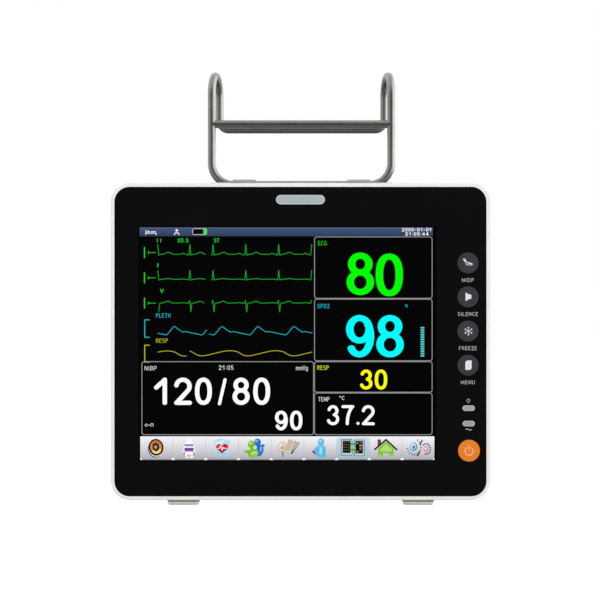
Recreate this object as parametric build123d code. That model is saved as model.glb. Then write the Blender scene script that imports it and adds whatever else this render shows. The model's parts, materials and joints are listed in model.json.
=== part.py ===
from build123d import *
import math
import os

# A bedside patient monitor with a tilting wire handle on top.
# Millimetres. +X is to the right of a person facing the screen, +Y runs to the back, +Z is up.
# Z = 0 is the table under the feet, X = 0 the middle of the case. Lengths called depth are measured
# backwards from the bezel's front face; heights called rise are measured from the middle of the front.

# ---- case ------------------------------------------------------------------------------------
FOOT_HEIGHT = 6.0
CASE_WIDTH = 315.5
CASE_HEIGHT = 263.5
CASE_CORNER = 16.0
CASE_DEPTH = 104.0
SEAM_DEPTH = 22.0  # where the bezel meets the rear housing
SEAM_STEP = 1.0  # the housing is this much smaller than the bezel all round
BACK_WIDTH = 297.0  # width of the housing at its back face
BACK_FILLET = 12.0
WALL = 3.0
BEZEL_EDGE_FILLET = 1.8

# ---- front panel -----------------------------------------------------------------------------
PANEL_WIDTH = 308.9
PANEL_HEIGHT = 256.9
PANEL_CORNER = 12.6
PANEL_FRONT = 0.3
PANEL_BACK = 2.1
PANEL_GAP = 0.1
LEDGE_WIDTH = 3.7
LEDGE_BACK = 4.6
CASE_POST_X = (122.0, 157.0)  # bezel posts, given for the upper right corner
CASE_POST_RISES = (108.0, 131.0)
CHASSIS_POST_X = (104.0, 122.0)
CHASSIS_POST_RISES = (113.0, 131.0)

# ---- display ---------------------------------------------------------------------------------
DISPLAY_WIDTH = 245.5
DISPLAY_HEIGHT = 193.8
DISPLAY_X = -10.9
DISPLAY_RISE = -1.7
WINDOW_MARGIN = 1.0  # window edge outside the lit area, on each side
GLASS_FRONT = 0.5
LCD_WIDTH = 261.0
LCD_HEIGHT = 209.0
LCD_FRONT = 2.6
LCD_BACK = 11.6
LCD_CORNER = 2.0
LCD_SCREW_INSET = 11.0
LCD_HOLE_DEPTH = 4.5
DRIVER_COVER_X = (-100.0, 80.0)  # raised cover on the display's back, from the display's middle
DRIVER_COVER_RISES = (-70.0, -40.0)
DRIVER_COVER_THICKNESS = 1.2
TAPE_OVERLAP = 0.8  # foam reaches this far over the edge of the lit area

# ---- keys and lamps --------------------------------------------------------------------------
KEY_X = 139.1
KEY_RISES = {"nibp_button": 65.3, "silence_button": 37.1, "freeze_button": 8.7, "menu_button": -19.6}
KEY_RADIUS = 8.75
POWER_X = 140.0
POWER_RISE = -90.6
POWER_RADIUS = 9.1
KEY_HOLE_GAP = 0.2
KEY_FRONT = -0.5  # caps stand this much proud of the bezel
KEY_TRAVEL = 0.7
KEY_FLANGE = 1.1  # the cap's flange reaches this far under the panel
KEY_FLANGE_THICKNESS = 1.2
KEY_EDGE_FILLET = 0.7
KEY_STEM_RADIUS = 1.7
KEY_STEM_BACK = 8.0
STEM_CLEARANCE = 0.05
SWITCH_HALF_WIDTH = 4.0
SWITCH_FRONT = 6.0
SWITCH_BORE_BACK = 9.2
LAMP_X = 139.8
LAMP_RISES = (-55.3, -68.1)
LAMP_WIDTH = 10.5
LAMP_HEIGHT = 4.8
ALARM_WIDTH = 40.8
ALARM_HEIGHT = 8.0
ALARM_RISE = 117.9
LENS_FRONT = 0.1
LENS_BACK = 4.2
LENS_FLANGE = 1.4
LED_SIZE = (3.4, 1.4, 2.8)  # width, thickness, height
ALARM_LED_X = (-15.0, -5.0, 5.0, 15.0)
KEY_BOARD_FRONT = 10.0
KEY_BOARD_BACK = 11.6

# ---- handle ----------------------------------------------------------------------------------
ROD_RADIUS = 3.5
HINGE_DEPTH = 82.0
HINGE_RISE_ABOVE_HOUSING = 6.0
HANDLE_HEIGHT = 97.0  # top of the loops above the hinge axis, rod centre to rod centre
HANDLE_REACH = 36.0  # front legs to back legs
LEG_X = 78.3
BACK_LEG_INWARD = 5.0
HINGE_CORNER = 19.0
BACK_CORNER = 8.0
BAR_HEIGHT = 53.1  # cross bar between the front legs, above the hinge axis
BACK_BAR_DROP = 0.8  # the back bar is this much lower
HINGE_CLEARANCE = 0.05
SADDLE_HALF_WIDTH = 79.0
SADDLE_DEPTHS = (66.0, 98.0)
SADDLE_THICKNESS = 2.2
STRAP_X = 50.0
STRAP_WIDTH = 20.0
STRAP_THICKNESS = 1.2
STRAP_EAR = 9.0
STOP_RISE = 1.6  # top of the stop rib above the hinge axis
STOP_GAP = 0.3
STOP_THICKNESS = 3.3
CRADLE_BELOW_AXIS = 1.2
SCREW_HOLE_GAP = 0.2  # radial gap of a clearance hole round an M4 shank

# ---- chassis and boards ----------------------------------------------------------------------
CHASSIS_FRONT = 14.0
CHASSIS_BACK = 15.5
CHASSIS_HALF_WIDTH = 151.0
CHASSIS_HALF_HEIGHT = 125.0
CHASSIS_NOTCH_X = (121.5, 152.0)  # corners cut away round the case screw posts
CHASSIS_NOTCH_RISES = (107.5, 126.0)
LCD_PAD_RADIUS = 5.0
BOARD_PAD_RADIUS = 4.0
CASE_SCREW_X = 130.0
CASE_SCREW_RISE = 113.0
CASE_SCREW_SEAT = 26.0
CHASSIS_SCREW_X = 110.0
CHASSIS_SCREW_RISE = 118.0
BOARD_FRONT = 30.0
BOARD_THICKNESS = 1.6
MAIN_BOARD_X = (-95.0, 110.0)
MAIN_BOARD_Z = (92.0, 242.0)
SUPPLY_BOARD_X = (-98.0, 32.0)
SUPPLY_BOARD_Z = (22.0, 84.0)
BOARD_HOLE_INSET = 6.0
PILLAR_RADIUS = 3.2
PILLAR_HOLE_DEPTH = 9.0

# ---- patient connector bay on the left side --------------------------------------------------
BAY_DEPTHS = (32.0, 84.0)
BAY_Z = (60.0, 190.0)
BAY_LIP = 4.0
BAY_PLATE_FRONT_X = -147.5
BAY_PLATE_BACK_X = -144.5
SOCKET_DEPTH = 58.0
ECG_Z = 168.0
SPO2_Z = 139.0
NIBP_Z = 113.0
TEMP_Z = (91.0, 73.0)
PARAMETER_BOARD_X = (-121.6, -120.0)
PARAMETER_BOARD_DEPTHS = (34.0, 88.0)
PARAMETER_BOARD_Z = (72.0, 190.0)
PARAMETER_POST_DEPTHS = (38.0, 82.0)
PARAMETER_POST_Z = (80.0, 182.0)
SHIELD_BACK_X = -106.0
SHIELD_DEPTHS = (44.0, 76.0)
SHIELD_Z = (86.0, 176.0)
SHIELD_WALL = 0.8

# ---- battery compartment and door ------------------------------------------------------------
DOOR_HALF_WIDTH = 55.0
DOOR_Z = (22.0, 66.0)
DOOR_GAP = 0.4
DOOR_AXIS_DEPTH = 101.5
DOOR_AXIS_Z = 24.5
DOOR_ROLL_RADIUS = 2.5
DOOR_PIN_RADIUS = 1.0
DOOR_PIN_CLEARANCE = 0.05
DOOR_EAR_X = (46.0, 50.0)
DOOR_PIN_HALF_LENGTH = 52.0
RIDGE_HALF_WIDTH = 18.0
GRIP_SLOTS_BELOW_TOP = (6.0, 9.0, 12.0)
GRIP_SLOT = (30.0, 1.2)
GRIP_SLOT_DEPTH = 0.8

# ---- back connectors, mounts and speaker -----------------------------------------------------
INLET_X = -100.0
INLET_FLANGE = (50.0, 28.0)
INLET_FLANGE_THICKNESS = 2.2
INLET_BODY = (31.6, 24.6)
INLET_FRONT = 78.0
INLET_WELL = (25.0, 17.0)
INLET_WELL_DEPTH = 15.0
INLET_BLADES = ((-7.0, -2.0), (7.0, -2.0), (0.0, 2.0))
INLET_SCREW_X = 20.0
PORTS_Z = 38.0
NETWORK_X = 80.0
NETWORK_SIZE = (16.0, 14.0)
NETWORK_FRONT = 86.0
NETWORK_FLOOR = 91.0
NETWORK_CONTACT_PITCH = 1.02
OPENING_GAP = 0.2
EARTH_X = 108.0
EARTH_NECK_RADIUS = 4.0
EARTH_COLLAR_RADIUS = 7.5
EARTH_NUT_THICKNESS = 5.0
EARTH_PIN_RADIUS = 3.0
EARTH_PIN_LENGTH = 12.0
VESA_HALF_PITCH = 50.0
STAND_HALF_PITCH_X = 50.0
STAND_DEPTHS = (38.0, 88.0)
INSERT_RADIUS = 3.0
INSERT_LENGTH = 8.0
M4_TAPPED_RADIUS = 1.65
M4_SHANK_RADIUS = 1.95
M3_TAPPED_RADIUS = 1.5
M3_SHANK_RADIUS = 1.45
SPEAKER_X = 100.0
SPEAKER_Z = 205.0
SPEAKER_RADIUS = 26.0
GRILLE_PITCH = 4.6
GRILLE_HOLE_RADIUS = 1.3
GRILLE_MARGIN = 7.0
VENT_SLOT = (30.0, 3.0)
VENT_COUNT = 15
VENT_PITCH = 8.0
VENT_Z = 229.0
FOOT_X = 99.2
FOOT_DEPTHS = (37.0, 86.0)
CASE_BOSS_RADIUS = 6.4
SCREW_TUNNEL_RADIUS = 4.25
INSERT_BOSS_RADIUS = 6.0
HANDLE_BOSS_RADIUS = 5.0
FOOT_BOSS_RADIUS = 4.5
SEAL_HALF_WIDTH = 0.6
SEAL_DEPTH = 1.2

# ---- worked out from the dimensions above ----------------------------------------------------
MIDDLE_Z = FOOT_HEIGHT + CASE_HEIGHT / 2
HOUSING_BOTTOM = FOOT_HEIGHT + SEAM_STEP
HOUSING_TOP = FOOT_HEIGHT + CASE_HEIGHT - SEAM_STEP
HINGE_Z = HOUSING_TOP + HINGE_RISE_ABOVE_HOUSING
DEEPEST = HINGE_DEPTH + HANDLE_REACH + ROD_RADIUS
FRONT_Y = -(DEEPEST + KEY_FRONT) / 2  # puts Y = 0 in the middle of the overall depth
DISPLAY_Z = MIDDLE_Z + DISPLAY_RISE
BOARD_BACK = BOARD_FRONT + BOARD_THICKNESS
INNER_BACK = CASE_DEPTH - WALL
BACK_CUT = (CASE_DEPTH - 9, CASE_DEPTH + 6)  # runs right through the back wall
PIN_BORE_X = (-DOOR_PIN_HALF_LENGTH - 8, DOOR_PIN_HALF_LENGTH + 8)
SIDES = (-1, 1)


# ---- helpers ---------------------------------------------------------------------------------
def y_at(depth):
    """Y of a point this far behind the bezel's front face."""
    return FRONT_Y + depth


def block(xs, depths, zs):
    """Box between two corners."""
    size = [high - low for low, high in (xs, depths, zs)]
    middle = Pos(sum(xs) / 2, y_at(sum(depths) / 2), sum(zs) / 2)
    return middle * Box(*size)


def rod_x(xs, depth, z, radius):
    """Round bar along X."""
    return Pos(sum(xs) / 2, y_at(depth), z) * Rot(0, 90, 0) * Cylinder(radius, xs[1] - xs[0])


def rod_y(x, depths, z, radius):
    """Round bar along Y, from front to back."""
    length = depths[1] - depths[0]
    return Pos(x, y_at(sum(depths) / 2), z) * Rot(90, 0, 0) * Cylinder(radius, length)


def rod_z(x, depth, zs, radius):
    """Round bar along Z."""
    return Pos(x, y_at(depth), sum(zs) / 2) * Cylinder(radius, zs[1] - zs[0])


def front_prism(outline, x, depths, z):
    """An outline seen from the front, centred on x and z and running back through depths."""
    back_plane = Plane.XZ.offset(-y_at(depths[1]))
    return Pos(x, 0, z) * extrude(back_plane * outline, depths[1] - depths[0])


def side_prism(outline_points, xs):
    """A closed outline of (depth, z) points, run along X."""
    outline = Polyline([(y_at(depth), z) for depth, z in outline_points], close=True)
    return extrude(Plane.YZ.offset(xs[0]) * make_face(outline), xs[1] - xs[0])


def group(shapes):
    """Separate solids that share one node."""
    return Compound([solid for shape in shapes for solid in shape.solids()])


def corners(x, z):
    """The four combinations of plus and minus x and z."""
    return [(side_x * x, side_z * z) for side_x in SIDES for side_z in SIDES]


def bent_path(points, radii):
    """A wire through points, each inner corner rounded to its radius."""
    points = [Vector(*point) for point in points]
    edges = []
    start = points[0]
    for before, corner, after, radius in zip(points, points[1:], points[2:], radii):
        to_before = (before - corner).normalized()
        to_after = (after - corner).normalized()
        half_angle = math.acos(max(-1, min(1, to_before.dot(to_after)))) / 2
        setback = radius / math.tan(half_angle)
        bisector = (to_before + to_after).normalized()
        middle = corner + bisector * (radius / math.sin(half_angle) - radius)
        arc_start = corner + to_before * setback
        arc_end = corner + to_after * setback
        if (arc_start - start).length > 1e-4:
            edges.append(Edge.make_line(start, arc_start))
        edges.append(Edge.make_three_point_arc(arc_start, middle, arc_end))
        start = arc_end
    edges.append(Edge.make_line(start, points[-1]))
    return Wire(edges)


def swept_rod(path, radius, bore=0.0):
    """A round bar, or a tube where bore is given, along a path."""
    end = Plane(origin=path.position_at(0), z_dir=path.tangent_at(0))
    solid = sweep(end * Circle(radius), path=path)
    if bore:
        solid = solid - sweep(end * Circle(bore), path=path)
    return solid


def screw(shank_radius, length, head_radius, head_height):
    """Socket screw, head up, with the underside of its head at the origin."""
    head = Pos(0, 0, head_height / 2) * Cylinder(head_radius, head_height)
    head = fillet(head.edges().sort_by(Axis.Z)[-1], head_height * 0.25)
    key = extrude(Pos(0, 0, head_height * 0.4) * RegularPolygon(head_radius * 0.5, 6), head_height)
    shank = Pos(0, 0, -length / 2) * Cylinder(shank_radius, length)
    return head + shank - key


FACING_BACK = Rot(-90, 0, 0)
FACING_FRONT = Rot(90, 0, 0)
FACING_DOWN = Rot(180, 0, 0)
FACING_RIGHT = Rot(0, 90, 0)


def m3_screw(length):
    return screw(M3_SHANK_RADIUS, length, 2.8, 2.0)


def m4_screw(length):
    return screw(M4_SHANK_RADIUS, length, 3.5, 2.6)


def half_width(depth):
    """Half the housing's outside width: its sides draw in towards the back."""
    front = CASE_WIDTH / 2 - SEAM_STEP
    share = (depth - SEAM_DEPTH) / (CASE_DEPTH - SEAM_DEPTH)
    return front + share * (BACK_WIDTH / 2 - front)


# ---- front of the case -----------------------------------------------------------------------
def front_bezel():
    """White moulded frame with a ledge for the panel and posts for the chassis and the case screws."""
    outline = RectangleRounded(CASE_WIDTH, CASE_HEIGHT, CASE_CORNER)
    body = front_prism(outline, 0, (0, SEAM_DEPTH), MIDDLE_Z)
    body = fillet(body.faces().sort_by(Axis.Y)[0].edges(), BEZEL_EDGE_FILLET)
    outer = body
    inner = RectangleRounded(CASE_WIDTH - 2 * WALL, CASE_HEIGHT - 2 * WALL, CASE_CORNER - WALL)
    pocket = RectangleRounded(PANEL_WIDTH + 2 * PANEL_GAP, PANEL_HEIGHT + 2 * PANEL_GAP, PANEL_CORNER)
    ledge = RectangleRounded(
        PANEL_WIDTH - 2 * LEDGE_WIDTH, PANEL_HEIGHT - 2 * LEDGE_WIDTH, PANEL_CORNER - LEDGE_WIDTH
    )
    body -= front_prism(inner, 0, (LEDGE_BACK, SEAM_DEPTH), MIDDLE_Z)
    body -= front_prism(pocket, 0, (-1, PANEL_BACK), MIDDLE_Z)
    body -= front_prism(ledge, 0, (PANEL_BACK, LEDGE_BACK), MIDDLE_Z)
    posts = Part()
    for side_x, side_z in corners(1, 1):
        case_depths = (LEDGE_BACK, SEAM_DEPTH)
        chassis_depths = (LEDGE_BACK, CHASSIS_FRONT)
        posts += mirrored_block(CASE_POST_X, case_depths, CASE_POST_RISES, side_x, side_z)
        posts += mirrored_block(CHASSIS_POST_X, chassis_depths, CHASSIS_POST_RISES, side_x, side_z)
    body += posts & outer
    for x, rise in corners(CASE_SCREW_X, CASE_SCREW_RISE):
        z = MIDDLE_Z + rise
        body -= rod_y(x, (SEAM_DEPTH - INSERT_LENGTH, SEAM_DEPTH), z, INSERT_RADIUS)
        body -= rod_y(x, (SEAM_DEPTH - INSERT_LENGTH - 4, SEAM_DEPTH), z, M4_SHANK_RADIUS + 0.1)
    for x, rise in corners(CHASSIS_SCREW_X, CHASSIS_SCREW_RISE):
        body -= rod_y(x, (CHASSIS_FRONT - 7, CHASSIS_FRONT), MIDDLE_Z + rise, M3_TAPPED_RADIUS)
    return body


def mirrored_block(xs, depths, rises, side_x, side_z):
    """A box given for the upper right corner of the front, moved to another corner."""
    xs = tuple(sorted(side_x * x for x in xs))
    zs = tuple(sorted(MIDDLE_Z + side_z * rise for rise in rises))
    return block(xs, depths, zs)


def window_outline(margin):
    """The display window, larger by margin on each side."""
    return Rectangle(DISPLAY_WIDTH + 2 * margin, DISPLAY_HEIGHT + 2 * margin)


def front_panel():
    """Black acrylic panel with its window, key holes and lamp slots."""
    outline = RectangleRounded(PANEL_WIDTH, PANEL_HEIGHT, PANEL_CORNER - PANEL_GAP)
    body = front_prism(outline, 0, (PANEL_FRONT, PANEL_BACK), MIDDLE_Z)
    through = (PANEL_FRONT - 1, PANEL_BACK + 1)
    body -= front_prism(window_outline(WINDOW_MARGIN), DISPLAY_X, through, DISPLAY_Z)
    for rise in KEY_RISES.values():
        body -= rod_y(KEY_X, through, MIDDLE_Z + rise, KEY_RADIUS + KEY_HOLE_GAP)
    body -= rod_y(POWER_X, through, MIDDLE_Z + POWER_RISE, POWER_RADIUS + KEY_HOLE_GAP)
    for rise in LAMP_RISES:
        body -= pill(LAMP_WIDTH, LAMP_HEIGHT, LAMP_X, through, rise)
    body -= pill(ALARM_WIDTH, ALARM_HEIGHT, 0, through, ALARM_RISE)
    return body


def pill(width, height, x, depths, rise):
    """A round-ended bar seen from the front."""
    return front_prism(SlotOverall(width, height), x, depths, MIDDLE_Z + rise)


def lens(width, height, x, rise):
    """Light pipe that fills its slot in the panel and has a flange behind it."""
    gap = 2 * PANEL_GAP
    flange = 2 * LENS_FLANGE
    front = pill(width - gap, height - gap, x, (LENS_FRONT, PANEL_BACK + 0.1), rise)
    back = pill(width + flange, height + flange, x, (PANEL_BACK, LENS_BACK), rise)
    edge = front.faces().sort_by(Axis.Y)[0].edges()
    return fillet(edge, 0.15) + back


def alarm_lens():
    return lens(ALARM_WIDTH, ALARM_HEIGHT, 0, ALARM_RISE)


def lamp_lenses():
    """Lenses of the battery lamp and the mains lamp."""
    return group(lens(LAMP_WIDTH, LAMP_HEIGHT, LAMP_X, rise) for rise in LAMP_RISES)


def display_glass():
    """Cover glass lying in the panel's window."""
    return front_prism(
        window_outline(WINDOW_MARGIN - PANEL_GAP), DISPLAY_X, (GLASS_FRONT, PANEL_BACK), DISPLAY_Z
    )


def panel_tape():
    """Foam tape ring that seals the panel and the glass to the display."""
    outer = front_prism(Rectangle(LCD_WIDTH, LCD_HEIGHT), DISPLAY_X, (PANEL_BACK, LCD_FRONT), DISPLAY_Z)
    through = (PANEL_BACK - 1, LCD_FRONT + 1)
    return outer - front_prism(window_outline(-TAPE_OVERLAP), DISPLAY_X, through, DISPLAY_Z)


def lcd_fixings():
    """The display module's four screw places."""
    across = LCD_WIDTH / 2 - LCD_SCREW_INSET
    up = LCD_HEIGHT / 2 - LCD_SCREW_INSET
    return [(DISPLAY_X + x, DISPLAY_Z + z) for x, z in corners(across, up)]


def lcd_module():
    """Display module: a metal tray with a raised driver cover on its back and four blind screw holes."""
    outline = RectangleRounded(LCD_WIDTH, LCD_HEIGHT, LCD_CORNER)
    body = front_prism(outline, DISPLAY_X, (LCD_FRONT, LCD_BACK), DISPLAY_Z)
    cover_xs = [DISPLAY_X + x for x in DRIVER_COVER_X]
    cover_zs = [DISPLAY_Z + rise for rise in DRIVER_COVER_RISES]
    body += block(cover_xs, (LCD_BACK, LCD_BACK + DRIVER_COVER_THICKNESS), cover_zs)
    for x, z in lcd_fixings():
        body -= rod_y(x, (LCD_BACK - LCD_HOLE_DEPTH, LCD_BACK), z, M3_TAPPED_RADIUS)
    return body


# ---- keys ------------------------------------------------------------------------------------
def key_cap(x, rise, radius):
    """Round cap with a retaining flange and a stem that works the switch behind it."""
    z = MIDDLE_Z + rise
    cap = rod_y(x, (KEY_FRONT, PANEL_BACK + 0.2), z, radius)
    cap = fillet(cap.edges().sort_by(Axis.Y)[0], KEY_EDGE_FILLET)
    flange_front = PANEL_BACK + 0.1
    flange = rod_y(x, (flange_front, flange_front + KEY_FLANGE_THICKNESS), z, radius + KEY_FLANGE)
    stem = rod_y(x, (flange_front + 0.9, KEY_STEM_BACK), z, KEY_STEM_RADIUS)
    return cap + flange + stem


def key_places():
    """Centre of every key, as (x, rise)."""
    return [(KEY_X, rise) for rise in KEY_RISES.values()] + [(POWER_X, POWER_RISE)]


def key_switches():
    """Push switches on the key board, each with a bore that guides its key's stem."""
    switches = []
    for x, rise in key_places():
        z = MIDDLE_Z + rise
        half = SWITCH_HALF_WIDTH
        body = block((x - half, x + half), (SWITCH_FRONT, KEY_BOARD_FRONT), (z - half, z + half))
        body -= rod_y(x, (SWITCH_FRONT - 1, SWITCH_BORE_BACK), z, KEY_STEM_RADIUS + STEM_CLEARANCE)
        switches.append(body)
    return group(switches)


def indicator_leds():
    """The lamps behind the two small lenses and the alarm lens."""
    width, thickness, height = LED_SIZE
    places = [(LAMP_X, rise) for rise in LAMP_RISES] + [(x, ALARM_RISE) for x in ALARM_LED_X]
    return group(
        Pos(x, y_at(KEY_BOARD_FRONT - thickness / 2), MIDDLE_Z + rise) * Box(width, thickness, height)
        for x, rise in places
    )


KEY_BOARD_X = (128.0, 150.5)
KEY_BOARD_RISES = (-104.0, 79.0)
KEY_BOARD_SCREWS = [(139.1, 51.2), (139.1, -37.5), (139.1, -77.0)]
ALARM_BOARD_SCREWS = [(-24.0, ALARM_RISE), (24.0, ALARM_RISE)]
ALARM_BOARD_HALF_WIDTH = 29.0
ALARM_BOARD_HALF_HEIGHT = 5.5


def key_board():
    zs = tuple(MIDDLE_Z + rise for rise in KEY_BOARD_RISES)
    body = block(KEY_BOARD_X, (KEY_BOARD_FRONT, KEY_BOARD_BACK), zs)
    return drilled(body, KEY_BOARD_SCREWS)


def alarm_board():
    z = MIDDLE_Z + ALARM_RISE
    xs = (-ALARM_BOARD_HALF_WIDTH, ALARM_BOARD_HALF_WIDTH)
    zs = (z - ALARM_BOARD_HALF_HEIGHT, z + ALARM_BOARD_HALF_HEIGHT)
    return drilled(block(xs, (KEY_BOARD_FRONT, KEY_BOARD_BACK), zs), ALARM_BOARD_SCREWS)


def drilled(board, places):
    """A front board with clearance holes for its screws."""
    for x, rise in places:
        board -= rod_y(x, (KEY_BOARD_FRONT - 1, KEY_BOARD_BACK + 1), MIDDLE_Z + rise, M3_TAPPED_RADIUS)
    return board


def front_board_screws():
    """Screws that hold the key board and the alarm board to the chassis pads."""
    places = KEY_BOARD_SCREWS + ALARM_BOARD_SCREWS
    return group(
        Pos(x, y_at(KEY_BOARD_FRONT), MIDDLE_Z + rise) * FACING_FRONT * m3_screw(5) for x, rise in places
    )


# ---- chassis ---------------------------------------------------------------------------------
def board_holes():
    """Screw places of the main board and the power supply board, as (x, z)."""
    holes = []
    for xs, zs in ((MAIN_BOARD_X, MAIN_BOARD_Z), (SUPPLY_BOARD_X, SUPPLY_BOARD_Z)):
        for x in (xs[0] + BOARD_HOLE_INSET, xs[1] - BOARD_HOLE_INSET):
            for z in (zs[0] + BOARD_HOLE_INSET, zs[1] - BOARD_HOLE_INSET):
                holes.append((x, z))
    return holes


def chassis_plate():
    """Steel plate between the display and the boards, with pads pressed forwards for the screws."""
    xs = (-CHASSIS_HALF_WIDTH, CHASSIS_HALF_WIDTH)
    zs = (MIDDLE_Z - CHASSIS_HALF_HEIGHT, MIDDLE_Z + CHASSIS_HALF_HEIGHT)
    plate = block(xs, (CHASSIS_FRONT, CHASSIS_BACK), zs)
    through = (CHASSIS_FRONT - 1, CHASSIS_BACK + 1)
    for side_x, side_z in corners(1, 1):
        plate -= mirrored_block(CHASSIS_NOTCH_X, through, CHASSIS_NOTCH_RISES, side_x, side_z)
    for x, z in lcd_fixings():
        plate += rod_y(x, (LCD_BACK, CHASSIS_BACK), z, LCD_PAD_RADIUS)
        plate -= rod_y(x, (LCD_BACK - 1, CHASSIS_BACK + 1), z, M3_TAPPED_RADIUS)
    for x, rise in KEY_BOARD_SCREWS + ALARM_BOARD_SCREWS:
        z = MIDDLE_Z + rise
        plate += rod_y(x, (KEY_BOARD_BACK, CHASSIS_BACK), z, BOARD_PAD_RADIUS)
        plate -= rod_y(x, (KEY_BOARD_BACK - 1, CHASSIS_BACK + 1), z, M3_TAPPED_RADIUS)
    for x, rise in corners(CHASSIS_SCREW_X, CHASSIS_SCREW_RISE):
        plate -= rod_y(x, through, MIDDLE_Z + rise, M3_TAPPED_RADIUS + 0.1)
    slot = RIBBON_HALF_WIDTH + 4
    return plate - block((-slot, slot), through, (RIBBON_Z - 4, RIBBON_Z + 4))


def chassis_screws():
    return group(
        Pos(x, y_at(CHASSIS_BACK), MIDDLE_Z + rise) * FACING_BACK * m3_screw(7)
        for x, rise in corners(CHASSIS_SCREW_X, CHASSIS_SCREW_RISE)
    )


def lcd_screws():
    return group(Pos(x, y_at(CHASSIS_BACK), z) * FACING_BACK * m3_screw(7.5) for x, z in lcd_fixings())


def board_standoffs():
    """Threaded pillars swaged into the chassis."""
    pillars = []
    for x, z in board_holes():
        pillar = front_prism(RegularPolygon(PILLAR_RADIUS, 6), x, (CHASSIS_BACK, BOARD_FRONT), z)
        hole = (BOARD_FRONT - PILLAR_HOLE_DEPTH, BOARD_FRONT + 1)
        pillars.append(pillar - rod_y(x, hole, z, M3_TAPPED_RADIUS))
    return group(pillars)


def board_screws():
    """Screws of the two chassis boards and of the measuring board."""
    places = [Pos(x, y_at(BOARD_BACK), z) * FACING_BACK for x, z in board_holes()]
    places += [Pos(PARAMETER_BOARD_X[1], y_at(depth), z) * FACING_RIGHT for depth, z in parameter_posts()]
    return group(place * m3_screw(8) for place in places)


def circuit_board(xs, zs):
    """A board on the chassis pillars with its four screw holes."""
    board = block(xs, (BOARD_FRONT, BOARD_BACK), zs)
    for x, z in board_holes():
        if xs[0] < x < xs[1] and zs[0] < z < zs[1]:
            board -= rod_y(x, (BOARD_FRONT - 1, BOARD_BACK + 1), z, M3_TAPPED_RADIUS)
    return board


def main_board():
    return circuit_board(MAIN_BOARD_X, MAIN_BOARD_Z)


def power_supply_board():
    return circuit_board(SUPPLY_BOARD_X, SUPPLY_BOARD_Z)


def chip(x, z, width, height, rise):
    """A flat part standing on the back of a board."""
    return Pos(x, y_at(BOARD_BACK + rise / 2), z) * Box(width, rise, height)


def can(x, z, radius, rise):
    """A round part standing on the back of a board."""
    return rod_y(x, (BOARD_BACK, BOARD_BACK + rise), z, radius)


# Board parts as (x, z, width, height, rise off the board) or (x, z, radius, rise off the board).
COOLER = (0, 185, 42, 42, 10)
MEMORY_CHIPS = [(-45, 205, 18, 14, 2), (-45, 180, 18, 14, 2), (-45, 155, 24, 24, 2.5)]
DRIVER_CHIPS = [(60, 200, 20, 20, 2.5), (70, 150, 26, 12, 3)]
MAIN_HEADERS = [(-70, 110, 30, 8, 9), (-15, 102, 28, 6, 7), (45, 106, 34, 8, 9), (98, 175, 8, 40, 9)]
MAIN_CAPACITORS = [(x, 225, 4, 10) for x in (-60, -45, -30, 40, 55)]
HEAT_SINK = (12, 53, 10, 44, 15)
TRANSFORMER = (-25, 55, 34, 30, 16)
FILTER_CHOKE = (-72, 44, 16, 20, 14)
SUPPLY_HEADER = (-72, 70, 30, 8, 9)
SUPPLY_CAPACITORS = [(-52, 34, 7, 15), (-52, 52, 7, 15), (-6, 74, 4, 12), (-18, 76, 4, 12)]


def main_board_parts():
    """Processor with its finned cooler, memory, display driver, headers and capacitors."""
    cooler = chip(*COOLER)
    x, z, width, height, rise = COOLER
    groove_depths = (BOARD_BACK + 3, BOARD_BACK + rise + 1)
    for offset in range(-16, 17, 4):
        cooler -= block((x + offset - 1, x + offset + 1), groove_depths, (z - height, z + height))
    parts = [cooler] + [chip(*place) for place in MEMORY_CHIPS + DRIVER_CHIPS + MAIN_HEADERS]
    return group(parts + [can(*place) for place in MAIN_CAPACITORS])


def power_supply_parts():
    """Transformer, filter choke, reservoir capacitors, heat sink and plug headers."""
    heat_sink = chip(*HEAT_SINK)
    x, middle, width, height, rise = HEAT_SINK
    for offset in range(-17, 14, 6):
        groove = (middle + offset - 1.5, middle + offset + 1.5)
        heat_sink -= block((x - 1, x + width), (BOARD_BACK + 2, BOARD_BACK + rise + 1), groove)
    parts = [heat_sink] + [chip(*place) for place in (TRANSFORMER, FILTER_CHOKE, SUPPLY_HEADER)]
    return group(parts + [can(*place) for place in SUPPLY_CAPACITORS])


RIBBON_Z = MIDDLE_Z - 47.0
RIBBON_HALF_WIDTH = 10.0
RIBBON_THICKNESS = 0.6


def display_ribbon_cable():
    """Flat cable from the display's driver, through the chassis, up to the main board."""
    back = LCD_BACK + DRIVER_COVER_THICKNESS
    drop = BOARD_FRONT - 4
    thick = RIBBON_THICKNESS
    low = RIBBON_Z - 1
    high = MAIN_BOARD_Z[0] + 10
    outline = [(back, low), (drop + thick, low), (drop + thick, high - thick), (BOARD_FRONT, high - thick)]
    outline += [(BOARD_FRONT, high), (drop, high), (drop, low + thick), (back, low + thick)]
    return side_prism(outline, (-RIBBON_HALF_WIDTH, RIBBON_HALF_WIDTH))


# ---- rear housing ----------------------------------------------------------------------------
def tapered_shell(inset):
    """The housing's form, smaller by inset all round, with sides drawn in to the back."""
    back = CASE_DEPTH - inset
    height = HOUSING_TOP - HOUSING_BOTTOM - 2 * inset
    corner = CASE_CORNER - SEAM_STEP - inset
    sections = []
    for depth in (SEAM_DEPTH, back):
        width = 2 * (half_width(depth) - inset)
        outline = RectangleRounded(width, height, corner)
        sections.append(Plane.XZ.offset(-y_at(depth)) * Pos(0, MIDDLE_Z) * outline)
    body = loft(sections, ruled=True)
    return fillet(body.faces().sort_by(Axis.Y)[-1].edges(), BACK_FILLET - inset)


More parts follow.
